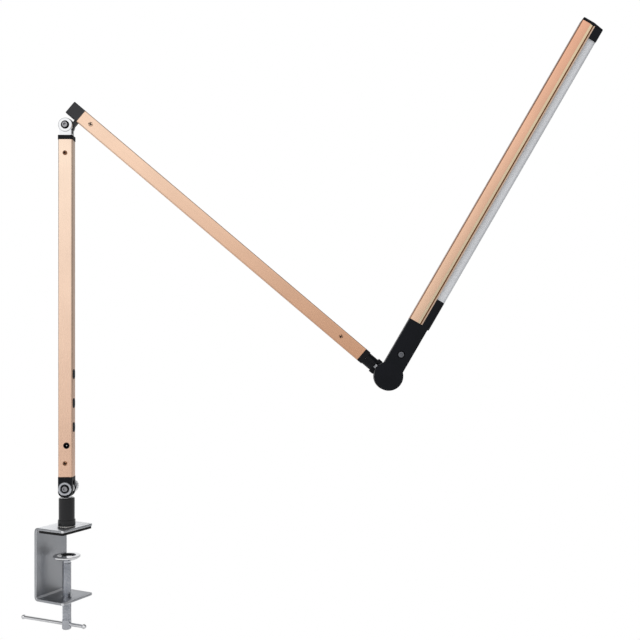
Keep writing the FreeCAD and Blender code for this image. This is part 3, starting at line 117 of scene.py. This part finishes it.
def between(tree, field, low, high, start=fieldRange[0], end=fieldRange[1]):
    # a field mapped onto a range of numbers
    step = tree.nodes.new("ShaderNodeMapRange")
    step.inputs["From Min"].default_value = start
    step.inputs["From Max"].default_value = end
    step.inputs["To Min"].default_value = low
    step.inputs["To Max"].default_value = high
    tree.links.new(field, step.inputs["Value"])
    return step.outputs["Result"]


def blendTones(tree, field, low, high):
    # a field mapped onto two colours
    ramp = tree.nodes.new("ShaderNodeValToRGB")
    ramp.color_ramp.elements[0].position = fieldRange[0]
    ramp.color_ramp.elements[0].color = low
    ramp.color_ramp.elements[1].position = fieldRange[1]
    ramp.color_ramp.elements[1].color = high
    tree.links.new(field, ramp.inputs["Fac"])
    return ramp.outputs["Color"]


def mixTones(tree, share, first, second):
    # the second colour laid over the first, by share
    blend = tree.nodes.new("ShaderNodeMix")
    blend.data_type = "RGBA"
    tree.links.new(share, blend.inputs[0])
    tree.links.new(first, blend.inputs[6])
    blend.inputs[7].default_value = second
    return blend.outputs[2]


def addBump(tree, shader, field, strength, depth):
    bump = tree.nodes.new("ShaderNodeBump")
    bump.inputs["Strength"].default_value = strength
    bump.inputs["Distance"].default_value = depth
    tree.links.new(field, bump.inputs["Height"])
    tree.links.new(bump.outputs["Normal"], shader.inputs["Normal"])


def specks(tree, scale, size):
    # sparse round flecks, for the small nicks that handling leaves
    place = tree.nodes.new("ShaderNodeTexCoord")
    cells = tree.nodes.new("ShaderNodeTexVoronoi")
    cells.inputs["Scale"].default_value = scale
    tree.links.new(place.outputs["Object"], cells.inputs["Vector"])
    softEdge = 0.6
    return between(tree, cells.outputs["Distance"], 1, 0, start=size * softEdge, end=size)


def heightShare(tree, low, high):
    # 0 at one height of the piece and 1 at the other
    place = tree.nodes.new("ShaderNodeTexCoord")
    split = tree.nodes.new("ShaderNodeSeparateXYZ")
    tree.links.new(place.outputs["Object"], split.inputs["Vector"])
    return between(tree, split.outputs["Z"], 0, 1, start=low, end=high)


goldGrain = {
    "cloud": 18,
    "cloudLow": 0.96,
    "cloudHigh": 1.03,
    "lines": 900,
    "lineStretch": (60, 1, 1),
    "nicks": 160,
    "nickSize": 0.035,
    "bump": 0.05,
    "bumpDepth": 0.00005,
}


def makeGold(name, look, turn):
    # anodised aluminium, drawn along its length: cloudy colour over a run from one tone to another along
    # the piece's height, that run being painted light and shade; fine lines and a few nicks
    finish, tree, shader = startFinish(name)
    cloud = grainField(tree, goldGrain["cloud"], 2, turn=turn)
    drawn = grainField(tree, goldGrain["lines"], 4, stretch=goldGrain["lineStretch"], turn=turn)
    # painted light and shade: the colour runs from the foot tone to the top tone over the piece's height
    height = heightShare(tree, *look["paintedLightHeights"])
    paintedLightRun = tree.nodes.new("ShaderNodeMix")
    paintedLightRun.data_type = "RGBA"
    tree.links.new(height, paintedLightRun.inputs[0])
    paintedLightRun.inputs[6].default_value = look["foot"]
    paintedLightRun.inputs[7].default_value = look["top"]
    clouded = tree.nodes.new("ShaderNodeHueSaturation")
    value = between(tree, cloud, goldGrain["cloudLow"], goldGrain["cloudHigh"])
    tree.links.new(value, clouded.inputs["Value"])
    tree.links.new(paintedLightRun.outputs[2], clouded.inputs["Color"])
    nicks = specks(tree, goldGrain["nicks"], goldGrain["nickSize"])
    worn = mixTones(tree, nicks, clouded.outputs["Color"], look["nick"])
    tree.links.new(worn, shader.inputs["Base Color"])
    tree.links.new(between(tree, drawn, look["roughLow"], look["roughHigh"]), shader.inputs["Roughness"])
    shader.inputs["Metallic"].default_value = 1.0
    addBump(tree, shader, drawn, goldGrain["bump"], goldGrain["bumpDepth"])
    return finish


goldLook = {
    "roughLow": 0.24,
    "roughHigh": 0.32,
    "nick": tone(190, 150, 122),
}
# foot and top tones paint light and shade: each extrusion is lighter towards one end, and the upright,
# sloping and bar golds are lit and shaded copies of one gold
uprightLook = dict(goldLook, foot=tone(252, 208, 180), top=tone(255, 229, 207), paintedLightHeights=(0.04, 0.42))
slopingLook = dict(goldLook, foot=tone(224, 172, 138), top=tone(250, 216, 190), paintedLightHeights=(0.19, 0.44))
barLook = dict(goldLook, foot=tone(255, 214, 184), top=tone(240, 181, 150), paintedLightHeights=(0.24, 0.56))
# the bar's bands, copies of its gold: painted highlight, painted shade in the groove, shaded lip,
# painted shade on the outer edge
highlightBandLook = dict(barLook, foot=tone(255, 232, 198), top=tone(255, 228, 190))
grooveShadeLook = dict(barLook, foot=tone(126, 82, 48), top=tone(118, 76, 44), roughLow=0.4, roughHigh=0.5)
lipShadedLook = dict(barLook, foot=tone(214, 186, 164), top=tone(206, 178, 156))
shadeLook = dict(barLook, foot=tone(168, 122, 92), top=tone(160, 112, 84))


plasticGrain = {"cloud": 40, "bump": 0.15, "shine": 0.5}


def makePlastic(name, look):
    # moulded or painted skin with a fine grain and faint rubbed patches
    look = plasticGrain | look
    finish, tree, shader = startFinish(name)
    cloud = grainField(tree, look["cloud"], 2)
    fine = grainField(tree, look["grain"], 2)
    tree.links.new(blendTones(tree, cloud, look["low"], look["high"]), shader.inputs["Base Color"])
    rough = between(tree, fine, look["roughLow"], look["roughHigh"])
    tree.links.new(rough, shader.inputs["Roughness"])
    shader.inputs["Specular IOR Level"].default_value = look["shine"]
    addBump(tree, shader, fine, look["bump"], look["depth"])
    return finish


blackCastingLook = {
    "low": tone(5, 7, 12), "high": tone(11, 13, 19),
    "roughLow": 0.34, "roughHigh": 0.48, "grain": 2200, "depth": 0.00004, "shine": 0.2,
}
blackMouldLook = {
    "low": tone(4, 7, 14), "high": tone(9, 12, 20),
    "roughLow": 0.38, "roughHigh": 0.52, "grain": 1800, "depth": 0.00005, "shine": 0.18,
}
blackGlossLook = {
    "low": tone(4, 5, 9), "high": tone(8, 10, 15),
    "roughLow": 0.12, "roughHigh": 0.2, "grain": 900, "depth": 0.00001, "shine": 0.5,
}
rubberLook = {
    "low": tone(13, 13, 14), "high": tone(22, 22, 23),
    "roughLow": 0.6, "roughHigh": 0.8, "grain": 1400, "depth": 0.0001, "shine": 0.3,
}
nylonLook = {
    "low": tone(214, 212, 204), "high": tone(226, 224, 218),
    "roughLow": 0.4, "roughHigh": 0.5, "grain": 1500, "depth": 0.00003,
}
coverLook = {
    "low": tone(212, 214, 218), "high": tone(220, 222, 226),
    "roughLow": 0.4, "roughHigh": 0.5, "grain": 1800, "depth": 0.000004,
    "bump": 0.02, "shine": 0.3, "cloud": 14,
}
boardLook = {
    "low": tone(222, 226, 220), "high": tone(232, 236, 230),
    "roughLow": 0.3, "roughHigh": 0.4, "grain": 900, "depth": 0.00003,
}
chipLook = {
    "low": tone(226, 206, 96), "high": tone(240, 222, 120),
    "roughLow": 0.3, "roughHigh": 0.4, "grain": 900, "depth": 0.00003,
}
cableLook = {
    "low": tone(24, 24, 26), "high": tone(34, 34, 36),
    "roughLow": 0.5, "roughHigh": 0.6, "grain": 1200, "depth": 0.00004,
}


brightGrain = {
    "cloud": 60,
    "lines": 1200,
    "stretch": (1, 1, 1),
    "nicks": 240,
    "nickSize": 0.04,
    "bump": 0.03,
    "bumpDepth": 0.00003,
}


def makeBright(name, look):
    # plated or rolled metal with faint polishing marks
    look = brightGrain | look
    finish, tree, shader = startFinish(name)
    cloud = grainField(tree, look["cloud"], 3)
    lines = grainField(tree, look["lines"], 3, stretch=look["stretch"])
    body = blendTones(tree, cloud, look["low"], look["high"])
    worn = mixTones(tree, specks(tree, look["nicks"], look["nickSize"]), body, look["nick"])
    tree.links.new(worn, shader.inputs["Base Color"])
    tree.links.new(between(tree, cloud, look["roughLow"], look["roughHigh"]), shader.inputs["Roughness"])
    shader.inputs["Metallic"].default_value = 1.0
    addBump(tree, shader, lines, look["bump"], look["bumpDepth"])
    return finish


chromeLook = {
    "low": tone(228, 229, 232), "high": tone(242, 243, 245), "nick": tone(190, 191, 194),
    "roughLow": 0.05, "roughHigh": 0.11,
}
darkSteelLook = {
    "low": tone(150, 151, 155), "high": tone(178, 178, 182), "nick": tone(120, 120, 124),
    "roughLow": 0.2, "roughHigh": 0.32,
}
clampSteelLook = {
    "low": tone(164, 167, 172), "high": tone(182, 184, 188), "nick": tone(140, 141, 145),
    "roughLow": 0.34, "roughHigh": 0.42, "cloud": 26, "stretch": (1, 1, 40), "bump": 0.05,
}
plateHighlightLook = {
    "low": tone(226, 228, 232), "high": tone(240, 241, 244), "nick": tone(190, 191, 194),
    "roughLow": 0.24, "roughHigh": 0.32, "cloud": 26, "bump": 0.04,
}
screwSteelLook = {
    "low": tone(186, 189, 195), "high": tone(214, 216, 221), "nick": tone(120, 121, 126),
    "roughLow": 0.1, "roughHigh": 0.16,
}
greySteelLook = {
    "low": tone(112, 114, 119), "high": tone(130, 132, 137), "nick": tone(90, 91, 95),
    "roughLow": 0.36, "roughHigh": 0.46,
}
satinLook = {
    "low": tone(196, 198, 203), "high": tone(212, 214, 218), "nick": tone(160, 161, 165),
    "roughLow": 0.36, "roughHigh": 0.46,
}
castCapLook = {
    "low": tone(22, 23, 27), "high": tone(34, 35, 40),
    "roughLow": 0.3, "roughHigh": 0.42, "grain": 2200, "depth": 0.00004, "shine": 0.5,
}
recessShadeLook = {
    "low": tone(12, 12, 13), "high": tone(22, 22, 24),
    "roughLow": 0.5, "roughHigh": 0.7, "grain": 1600, "depth": 0.00003, "shine": 0.15,
}

# degrees about Y that lay the drawn lines along each extrusion
alongUpright = (0, 90, 0)
alongSloping = (0, 40.3, 0)
alongBar = (0, -60, 0)

finishes = {
    "goldUpright": makeGold("goldUpright", uprightLook, alongUpright),
    "goldSloping": makeGold("goldSloping", slopingLook, alongSloping),
    "goldBar": makeGold("goldBar", barLook, alongBar),
    # painted highlight band, painted groove shade, shaded lip and painted edge shade of the bar
    "goldPaintedHighlight": makeGold("goldPaintedHighlight", highlightBandLook, alongBar),
    "goldGrooveShade": makeGold("goldGrooveShade", grooveShadeLook, alongBar),
    "goldLipShaded": makeGold("goldLipShaded", lipShadedLook, alongBar),
    "goldShade": makeGold("goldShade", shadeLook, alongBar),
    "screwSteel": makeBright("screwSteel", screwSteelLook),
    "satinSteel": makeBright("satinSteel", satinLook),
    "greySteel": makeBright("greySteel", greySteelLook),
    # lighter steel painted as highlight on the clamp's edges and top
    "paintedHighlightPlate": makeBright("paintedHighlightPlate", plateHighlightLook),
    "castCap": makePlastic("castCap", castCapLook),
    # near-black painted shade for the screws' cross recesses
    "recessShade": makePlastic("recessShade", recessShadeLook),
    "blackCasting": makePlastic("blackCasting", blackCastingLook),
    "blackMould": makePlastic("blackMould", blackMouldLook),
    "blackGloss": makePlastic("blackGloss", blackGlossLook),
    "rubber": makePlastic("jawRubber", rubberLook),
    "nylon": makePlastic("nylon", nylonLook),
    "milky": makePlastic("milkyCover", coverLook),
    "board": makePlastic("boardLacquer", boardLook),
    "chip": makePlastic("chipPhosphor", chipLook),
    "cable": makePlastic("cableJacket", cableLook),
    "chrome": makeBright("chrome", chromeLook),
    "steel": makeBright("darkSteel", darkSteelLook),
    "clampSteel": makeBright("clampSteel", clampSteelLook),
}

finishOfSlot = {
    "gold": "goldUpright",
    "black_metal": "blackCasting",
    "black_plastic": "blackMould",
    "bright": "chrome",
    "clamp_steel": "clampSteel",
    "steel": "steel",
    "rubber": "rubber",
    "nylon": "nylon",
    "milky": "milky",
    "board": "board",
    "chip": "chip",
    "cable": "cable",
}
ownFinish = {
    "upper_tube": "goldSloping",
    "elbow_knuckle": "castCap",
    "swivel_pin": "satinSteel",
    "base_ring": "screwSteel",
    "neck_screw": "greySteel",
    "post": "blackGloss",
    "knurled_ring": "blackGloss",
}
slotOfNode = {s["node"]: s["material_slot"] for s in frame["record"]["subparts"]}


def dressNodes():
    # every carried-over node gets a procedural finish
    for name, node in cadNodes.items():
        chosen = ownFinish.get(name) or finishOfSlot[slotOfNode[name]]
        node.data.materials.clear()
        node.data.materials.append(finishes[chosen])


dressNodes()
print("finishes made:", len(finishes))


# ---- helpers for new pieces
weldGap = 0.01 * millimetre
flatAngle = math.radians(0.5)
faceOrder = Vector((1.0, 3.7, 11.3))    # uneven direction: faces along it come in one fixed order
sharpBevel = {"segments": 2, "angle": math.radians(40)}


def finishPiece(name, mesh, finish, smoothAngle=30, others=()):
    # a bmesh becomes an object at the origin, smooth up to an angle; its faces may name other finishes
    bmesh.ops.recalc_face_normals(mesh, faces=mesh.faces)
    for edge in mesh.edges:
        edge.smooth = len(edge.link_faces) == 2 and edge.calc_face_angle(0) < math.radians(smoothAngle)
    for face in mesh.faces:
        face.smooth = True
    mesh.faces.sort(key=lambda face: face.calc_center_median().dot(faceOrder))
    data = bpy.data.meshes.new(name)
    mesh.to_mesh(data)
    mesh.free()
    piece = bpy.data.objects.new(name, data)
    bpy.context.scene.collection.objects.link(piece)
    for chosen in (finish, *others):
        data.materials.append(finishes[chosen])
    return piece


def mergedCopy(node):
    # a CAD node's loose triangles, joined and with the flat ones dissolved
    mesh = bmesh.new()
    mesh.from_mesh(cadNodes[node].data)
    bmesh.ops.remove_doubles(mesh, verts=mesh.verts, dist=weldGap)
    bmesh.ops.dissolve_limit(mesh, angle_limit=flatAngle, verts=mesh.verts, edges=mesh.edges)
    return mesh


def bevelSharp(mesh, width):
    # break every sharp edge
    sharp = [e for e in mesh.edges if len(e.link_faces) == 2
             and e.calc_face_angle(0) > sharpBevel["angle"]]
    bmesh.ops.bevel(mesh, geom=sharp, affect="EDGES", offset=width, segments=sharpBevel["segments"],
                    profile=0.5, material=-1, clamp_overlap=True)


def keepBetween(mesh, low, high):
    # cut a closed shell across Z at two heights and close the cuts
    for height, side in ((low, -1), (high, 1)):
        cut = bmesh.ops.bisect_plane(mesh, geom=mesh.verts[:] + mesh.edges[:] + mesh.faces[:],
                                     plane_co=(0, 0, height), plane_no=(0, 0, side),
                                     clear_outer=True)
        rim = [g for g in cut["geom_cut"] if isinstance(g, bmesh.types.BMEdge)]
        bmesh.ops.holes_fill(mesh, edges=rim, sides=0)


def pourInto(mesh, part):
    # one bmesh's shell added to another
    data = bpy.data.meshes.new("pouredPart")
    part.to_mesh(data)
    part.free()
    mesh.from_mesh(data)
    bpy.data.meshes.remove(data)


# ---- clamp: folded plate with broken edges; the bevel strips and the top band take a lighter steel, a painted highlight
clampPlate = {
    "edge": 0.35 * millimetre,
    "smallFace": 0.00006,     # square metres: the bevel's strips, not the plates
    "topFacing": 0.9,
    "topBand": 1.0 * millimetre,
    "smooth": 35,
}


def makeClampPlate():
    mesh = mergedCopy("clamp_bracket")
    flat = set(mesh.faces)
    bevelSharp(mesh, clampPlate["edge"])
    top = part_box("clamp_bracket")[1].z
    # bevel strips and upward faces at the top get the lighter steel: painted highlight
    for face in mesh.faces:
        edged = face not in flat and face.calc_area() < clampPlate["smallFace"]
        upward = face.normal.z > clampPlate["topFacing"]
        if edged or (upward and face.calc_center_median().z > top - clampPlate["topBand"]):
            face.material_index = 1
    piece = finishPiece("clampPlate", mesh, "clampSteel", clampPlate["smooth"], others=("paintedHighlightPlate",))
    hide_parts("clamp_bracket")
    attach(piece, "clamp")


# ---- clamp: rolled thread between the plain ends of the screw
clampThread = {
    "pitch": 1.5 * millimetre,
    "depth": 0.75 * millimetre,
    "crest": 0.18,           # flat of the crest, share of the pitch
    "root": 0.2,
    "stepsPerTurn": 28,
    "neck": 2.6 * millimetre,   # plain length under the shoulder
    "tip": 3.0 * millimetre,    # spigot above the shoulder
    "foot": 10.4 * millimetre,  # plain length about the cross bar's hole
    "smooth": 28,
}


def threadedRod(axis, radius, foot, top):
    # one turn's profile, spun up a helix and cut flat at both ends
    pitch = clampThread["pitch"]
    root = radius - clampThread["depth"]
    crestHalf = clampThread["crest"] / 2
    rootHalf = clampThread["root"] / 2
    profile = [(root, 0), (root, rootHalf), (radius, 0.5 - crestHalf), (radius, 0.5 + crestHalf),
               (root, 1 - rootHalf), (root, 1)]
    turns = math.ceil((top - foot) / pitch) + 2
    mesh = bmesh.new()
    points = [mesh.verts.new((axis.x + r, axis.y, foot - 1.5 * pitch + z * pitch)) for r, z in profile]
    line = [mesh.edges.new(pair) for pair in zip(points, points[1:])]
    bmesh.ops.spin(mesh, geom=points + line, cent=axis, axis=(0, 0, 1), angle=2 * math.pi * turns,
                   dvec=(0, 0, pitch / clampThread["stepsPerTurn"]),
                   steps=clampThread["stepsPerTurn"] * turns)
    bmesh.ops.remove_doubles(mesh, verts=mesh.verts, dist=pitch / 1000)
    keepBetween(mesh, foot, top)
    return mesh


def makeClampScrew():
    low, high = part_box("clamp_screw")
    radius = (high.x - low.x) / 2
    axis = Vector(((low.x + high.x) / 2, (low.y + high.y) / 2, 0))
    top = high.z - clampThread["tip"] - clampThread["neck"]
    foot = low.z + clampThread["foot"]
    mesh = bmesh.new()
    for start, end in ((low.z - radius, foot), (top, high.z + radius)):
        plain = mergedCopy("clamp_screw")
        keepBetween(plain, start, end)
        pourInto(mesh, plain)
    pourInto(mesh, threadedRod(axis, radius, foot, top))
    piece = finishPiece("clampScrewThreaded", mesh, "screwSteel", clampThread["smooth"])
    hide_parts("clamp_screw")
    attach(piece, "screw")


makeClampPlate()
makeClampScrew()
print("clamp dressed")


# ---- small screws: cross recess sunk in each head's front face, its faces painted near-black as shade
crossHead = {
    "reach": 0.78,                # share of the head's radius that the cross takes
    "arm": 0.22,                  # half an arm's width, share of the radius
    "depth": 0.7 * millimetre,
    "search": 5 * millimetre,     # faces of one head lie within this of its centre
    "slack": 0.05 * millimetre,
    "facing": 0.1,                # least share of a face's normal that points to the front
    "flatFacing": 0.99,
    "discCorners": 7,             # the flat disc has more corners than this
}


def sinkCross(mesh, centre, turn):
    # split the domed front along the cross's sides, then push the cross in
    front = [f for f in mesh.faces if f.normal.y < -crossHead["facing"]
             and (f.calc_center_median() - centre).length < crossHead["search"]]
    radius = max(math.hypot(v.co.x - centre.x, v.co.z - centre.z) for f in front for v in f.verts)
    along = Vector((math.cos(turn), 0, math.sin(turn)))
    across = Vector((-math.sin(turn), 0, math.cos(turn)))
    reach = radius * crossHead["reach"]
    arm = radius * crossHead["arm"]
    for direction in (along, across):
        for place in (-reach, -arm, arm, reach):
            geometry = list(dict.fromkeys(g for f in front for g in (f, *f.edges, *f.verts)))
            cut = bmesh.ops.bisect_plane(mesh, geom=geometry, plane_no=direction,
                                         plane_co=centre + direction * place)
            front = [g for g in cut["geom"] if isinstance(g, bmesh.types.BMFace)]
    cells = []
    for cell in front:
        offset = cell.calc_center_median() - centre
        one, other = sorted((abs(offset.dot(along)), abs(offset.dot(across))))
        if one < arm and other < reach:
            cells.append(cell)
    grown = bmesh.ops.extrude_face_region(mesh, geom=cells)["geom"]
    sunk = [g for g in grown if isinstance(g, bmesh.types.BMVert)]
    bmesh.ops.translate(mesh, verts=sunk, vec=(0, crossHead["depth"], 0))
    bmesh.ops.delete(mesh, geom=cells, context="FACES")
    # the recess faces take the near-black finish: painted shade
    for cell in dict.fromkeys(f for v in sunk for f in v.link_faces):
        cell.material_index = 1


def makeCrossScrews(node, name, body, finish, turn):
    # same heads and shanks as the solids, with their recesses
    mesh = mergedCopy(node)
    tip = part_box(node)[0].y
    centres = [f.calc_center_median() for f in mesh.faces
               if len(f.verts) > crossHead["discCorners"] and f.normal.y < -crossHead["flatFacing"]
               and f.calc_center_median().y < tip + crossHead["slack"]]
    for centre in centres:
        sinkCross(mesh, centre, math.radians(turn))
    piece = finishPiece(name, mesh, finish, others=("recessShade",))
    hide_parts(node)
    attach(piece, body)


# the lower tube's screw heads take goldShade, the darker shaded gold of the bar's outer edge
makeCrossScrews("lower_tube_screws", "lowerTubeScrews", "lower_arm", "goldShade", 20)
makeCrossScrews("upper_tube_screws", "upperTubeScrews", "upper_arm", "goldSloping", 65)


# ---- light bar: painted highlight before the groove, painted shade in the groove, a shaded copy of the gold on the lip, painted shade along the outer edge
barBands = {
    "rise": 59.93,               # degrees above the horizontal
    "side": 12.4 * millimetre,   # outer edge to groove
    "groove": 1.4 * millimetre,
    # widths of the painted highlight band and of the painted shade strip along the outer edge
    "bright": 2.6 * millimetre,
    "shade": 0.9 * millimetre,
    "slack": 0.05 * millimetre,
    "facing": 0.5,
}
barFinishes = ("goldBar", "goldPaintedHighlight", "goldGrooveShade", "goldLipShaded", "goldShade")


def makeBar():
    mesh = mergedCopy("head_channel")
    rise = math.radians(barBands["rise"])
    across = Vector((math.sin(rise), 0, -math.cos(rise)))
    start = min(v.co.dot(across) for v in mesh.verts)
    grooveTop = barBands["side"]
    grooveFoot = grooveTop + barBands["groove"]
    for place in (barBands["shade"], grooveTop - barBands["bright"]):
        bmesh.ops.bisect_plane(mesh, geom=mesh.verts[:] + mesh.edges[:] + mesh.faces[:],
                               plane_co=across * (start + place), plane_no=across)
    slack = barBands["slack"]
    for face in mesh.faces:
        place = face.calc_center_median().dot(across) - start
        facing = abs(face.normal.y) > barBands["facing"]
        # each face's band: shaded lip, painted groove shade, painted highlight, painted edge shade, else
        # plain gold
        finish = "goldBar"
        if place > grooveFoot + slack:
            finish = "goldLipShaded"
        elif place > grooveTop - slack:
            finish = "goldGrooveShade"
        elif facing and place > grooveTop - barBands["bright"]:
            finish = "goldPaintedHighlight"
        elif place < barBands["shade"]:
            finish = "goldShade"
        face.material_index = barFinishes.index(finish)
    piece = finishPiece("barChannel", mesh, barFinishes[0], others=barFinishes[1:])
    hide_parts("head_channel")
    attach(piece, "head")


makeBar()
print("bar and screws dressed")

# ---- studio
studio = {
    "floorHeight": -0.113,
    "floorSize": 6.0,
    "floorAcross": 0.25,
    "floorTone": tone(236, 236, 236),
    "floorRough": 0.9,
    "white": (1, 1, 1, 1),
    "frontLevel": 0.74,      # room behind the camera: brighter up and to the left
    "frontAcross": -0.40,
    "frontUp": 0.85,
    "frontLeast": 0.2,
    "frontMost": 1.05,
    "backLevel": 0.66,       # room behind the lamp: brighter to the left
    "backAcross": -0.90,
    "backLeast": 0.3,
    "backMost": 1.0,
    "sideLevel": 0.17,       # dark sides, which outline round metal
    "sideStart": 0.28,
    "sideEnd": 0.62,
}


def seenDirectly(tree):
    # 1 for rays from the camera
    path = tree.nodes.new("ShaderNodeLightPath")
    return path.outputs["Is Camera Ray"]


def addFloor():
    mesh = bmesh.new()
    bmesh.ops.create_grid(mesh, x_segments=1, y_segments=1, size=studio["floorSize"] / 2,
                          matrix=Matrix.Translation((studio["floorAcross"], 0, studio["floorHeight"])))
    data = bpy.data.meshes.new("studioFloor")
    mesh.to_mesh(data)
    mesh.free()
    floor = bpy.data.objects.new("studioFloor", data)
    bpy.context.scene.collection.objects.link(floor)
    finish, tree, shader = startFinish("floorPaper")
    shader.inputs["Base Color"].default_value = studio["floorTone"]
    shader.inputs["Roughness"].default_value = studio["floorRough"]
    paper = tree.nodes.new("ShaderNodeEmission")
    paper.inputs["Color"].default_value = studio["white"]
    mix = tree.nodes.new("ShaderNodeMixShader")
    out = tree.nodes["Material Output"]
    tree.links.new(seenDirectly(tree), mix.inputs["Fac"])
    tree.links.new(shader.outputs["BSDF"], mix.inputs[1])
    tree.links.new(paper.outputs["Emission"], mix.inputs[2])
    tree.links.new(mix.outputs["Shader"], out.inputs["Surface"])
    data.materials.append(finish)


def arithmetic(tree, kind, *values):
    # one Math node; numbers and sockets both do
    node = tree.nodes.new("ShaderNodeMath")
    node.operation = kind
    for socket, value in zip(node.inputs, values):
        if isinstance(value, (int, float)):
            socket.default_value = value
        else:
            tree.links.new(value, socket)
    return node.outputs[0]


def limited(tree, value, least, most):
    return arithmetic(tree, "MINIMUM", arithmetic(tree, "MAXIMUM", value, least), most)


def addWorld():
    # soft room: two lit ends, front and back, and dark sides between them
    world = bpy.data.worlds.new("studioRoom")
    bpy.context.scene.world = world
    world.use_nodes = True
    tree = world.node_tree
    back = tree.nodes["Background"]
    place = tree.nodes.new("ShaderNodeTexCoord")
    split = tree.nodes.new("ShaderNodeSeparateXYZ")
    tree.links.new(place.outputs["Generated"], split.inputs["Vector"])
    across, depth, up = split.outputs["X"], split.outputs["Y"], split.outputs["Z"]
    frontShare = between(tree, depth, 1, 0, start=-studio["sideEnd"], end=-studio["sideStart"])
    backShare = between(tree, depth, 0, 1, start=studio["sideStart"], end=studio["sideEnd"])
    tilt = arithmetic(tree, "MULTIPLY_ADD", across, studio["frontAcross"], studio["frontLevel"])
    front = arithmetic(tree, "MULTIPLY_ADD", up, studio["frontUp"], tilt)
    front = limited(tree, front, studio["frontLeast"], studio["frontMost"])
    rear = arithmetic(tree, "MULTIPLY_ADD", across, studio["backAcross"], studio["backLevel"])
    rear = limited(tree, rear, studio["backLeast"], studio["backMost"])
    sides = arithmetic(tree, "SUBTRACT", 1.0, arithmetic(tree, "ADD", frontShare, backShare))
    level = arithmetic(tree, "ADD", arithmetic(tree, "MULTIPLY", front, frontShare),
                       arithmetic(tree, "MULTIPLY", rear, backShare))
    room = arithmetic(tree, "ADD", level, arithmetic(tree, "MULTIPLY", sides, studio["sideLevel"]))
    seen = tree.nodes.new("ShaderNodeMix")
    seen.data_type = "FLOAT"
    tree.links.new(seenDirectly(tree), seen.inputs[0])
    tree.links.new(room, seen.inputs[2])
    seen.inputs[3].default_value = 1.0
    tree.links.new(seen.outputs[0], back.inputs["Strength"])
    back.inputs["Color"].default_value = studio["white"]


lamps = {
    "softboxTop": {"place": (0.1, -0.2, 1.9), "aim": (0.25, 0, 0.2), "size": (1.4, 1.0), "power": 14},
    "softboxLeft": {"place": (-1.6, -1.0, 0.9), "aim": (0.2, 0, 0.2), "size": (0.8, 1.2), "power": 8},
}


def addLamp(name, place, aim, size, power):
    # soft light that no shiny face mirrors
    data = bpy.data.lights.new(name, "AREA")
    data.shape = "RECTANGLE"
    data.size = size[0]
    data.size_y = size[1]
    data.energy = power
    lamp = bpy.data.objects.new(name, data)
    bpy.context.scene.collection.objects.link(lamp)
    lamp.location = place
    lamp.visible_glossy = False
    lamp.rotation_euler = (Vector(aim) - Vector(place)).to_track_quat("-Z", "Y").to_euler()


addFloor()
addWorld()
for lampName, lamp in lamps.items():
    addLamp(lampName, **lamp)
print("studio lit")

bpy.context.scene.view_settings.view_transform = "Standard"
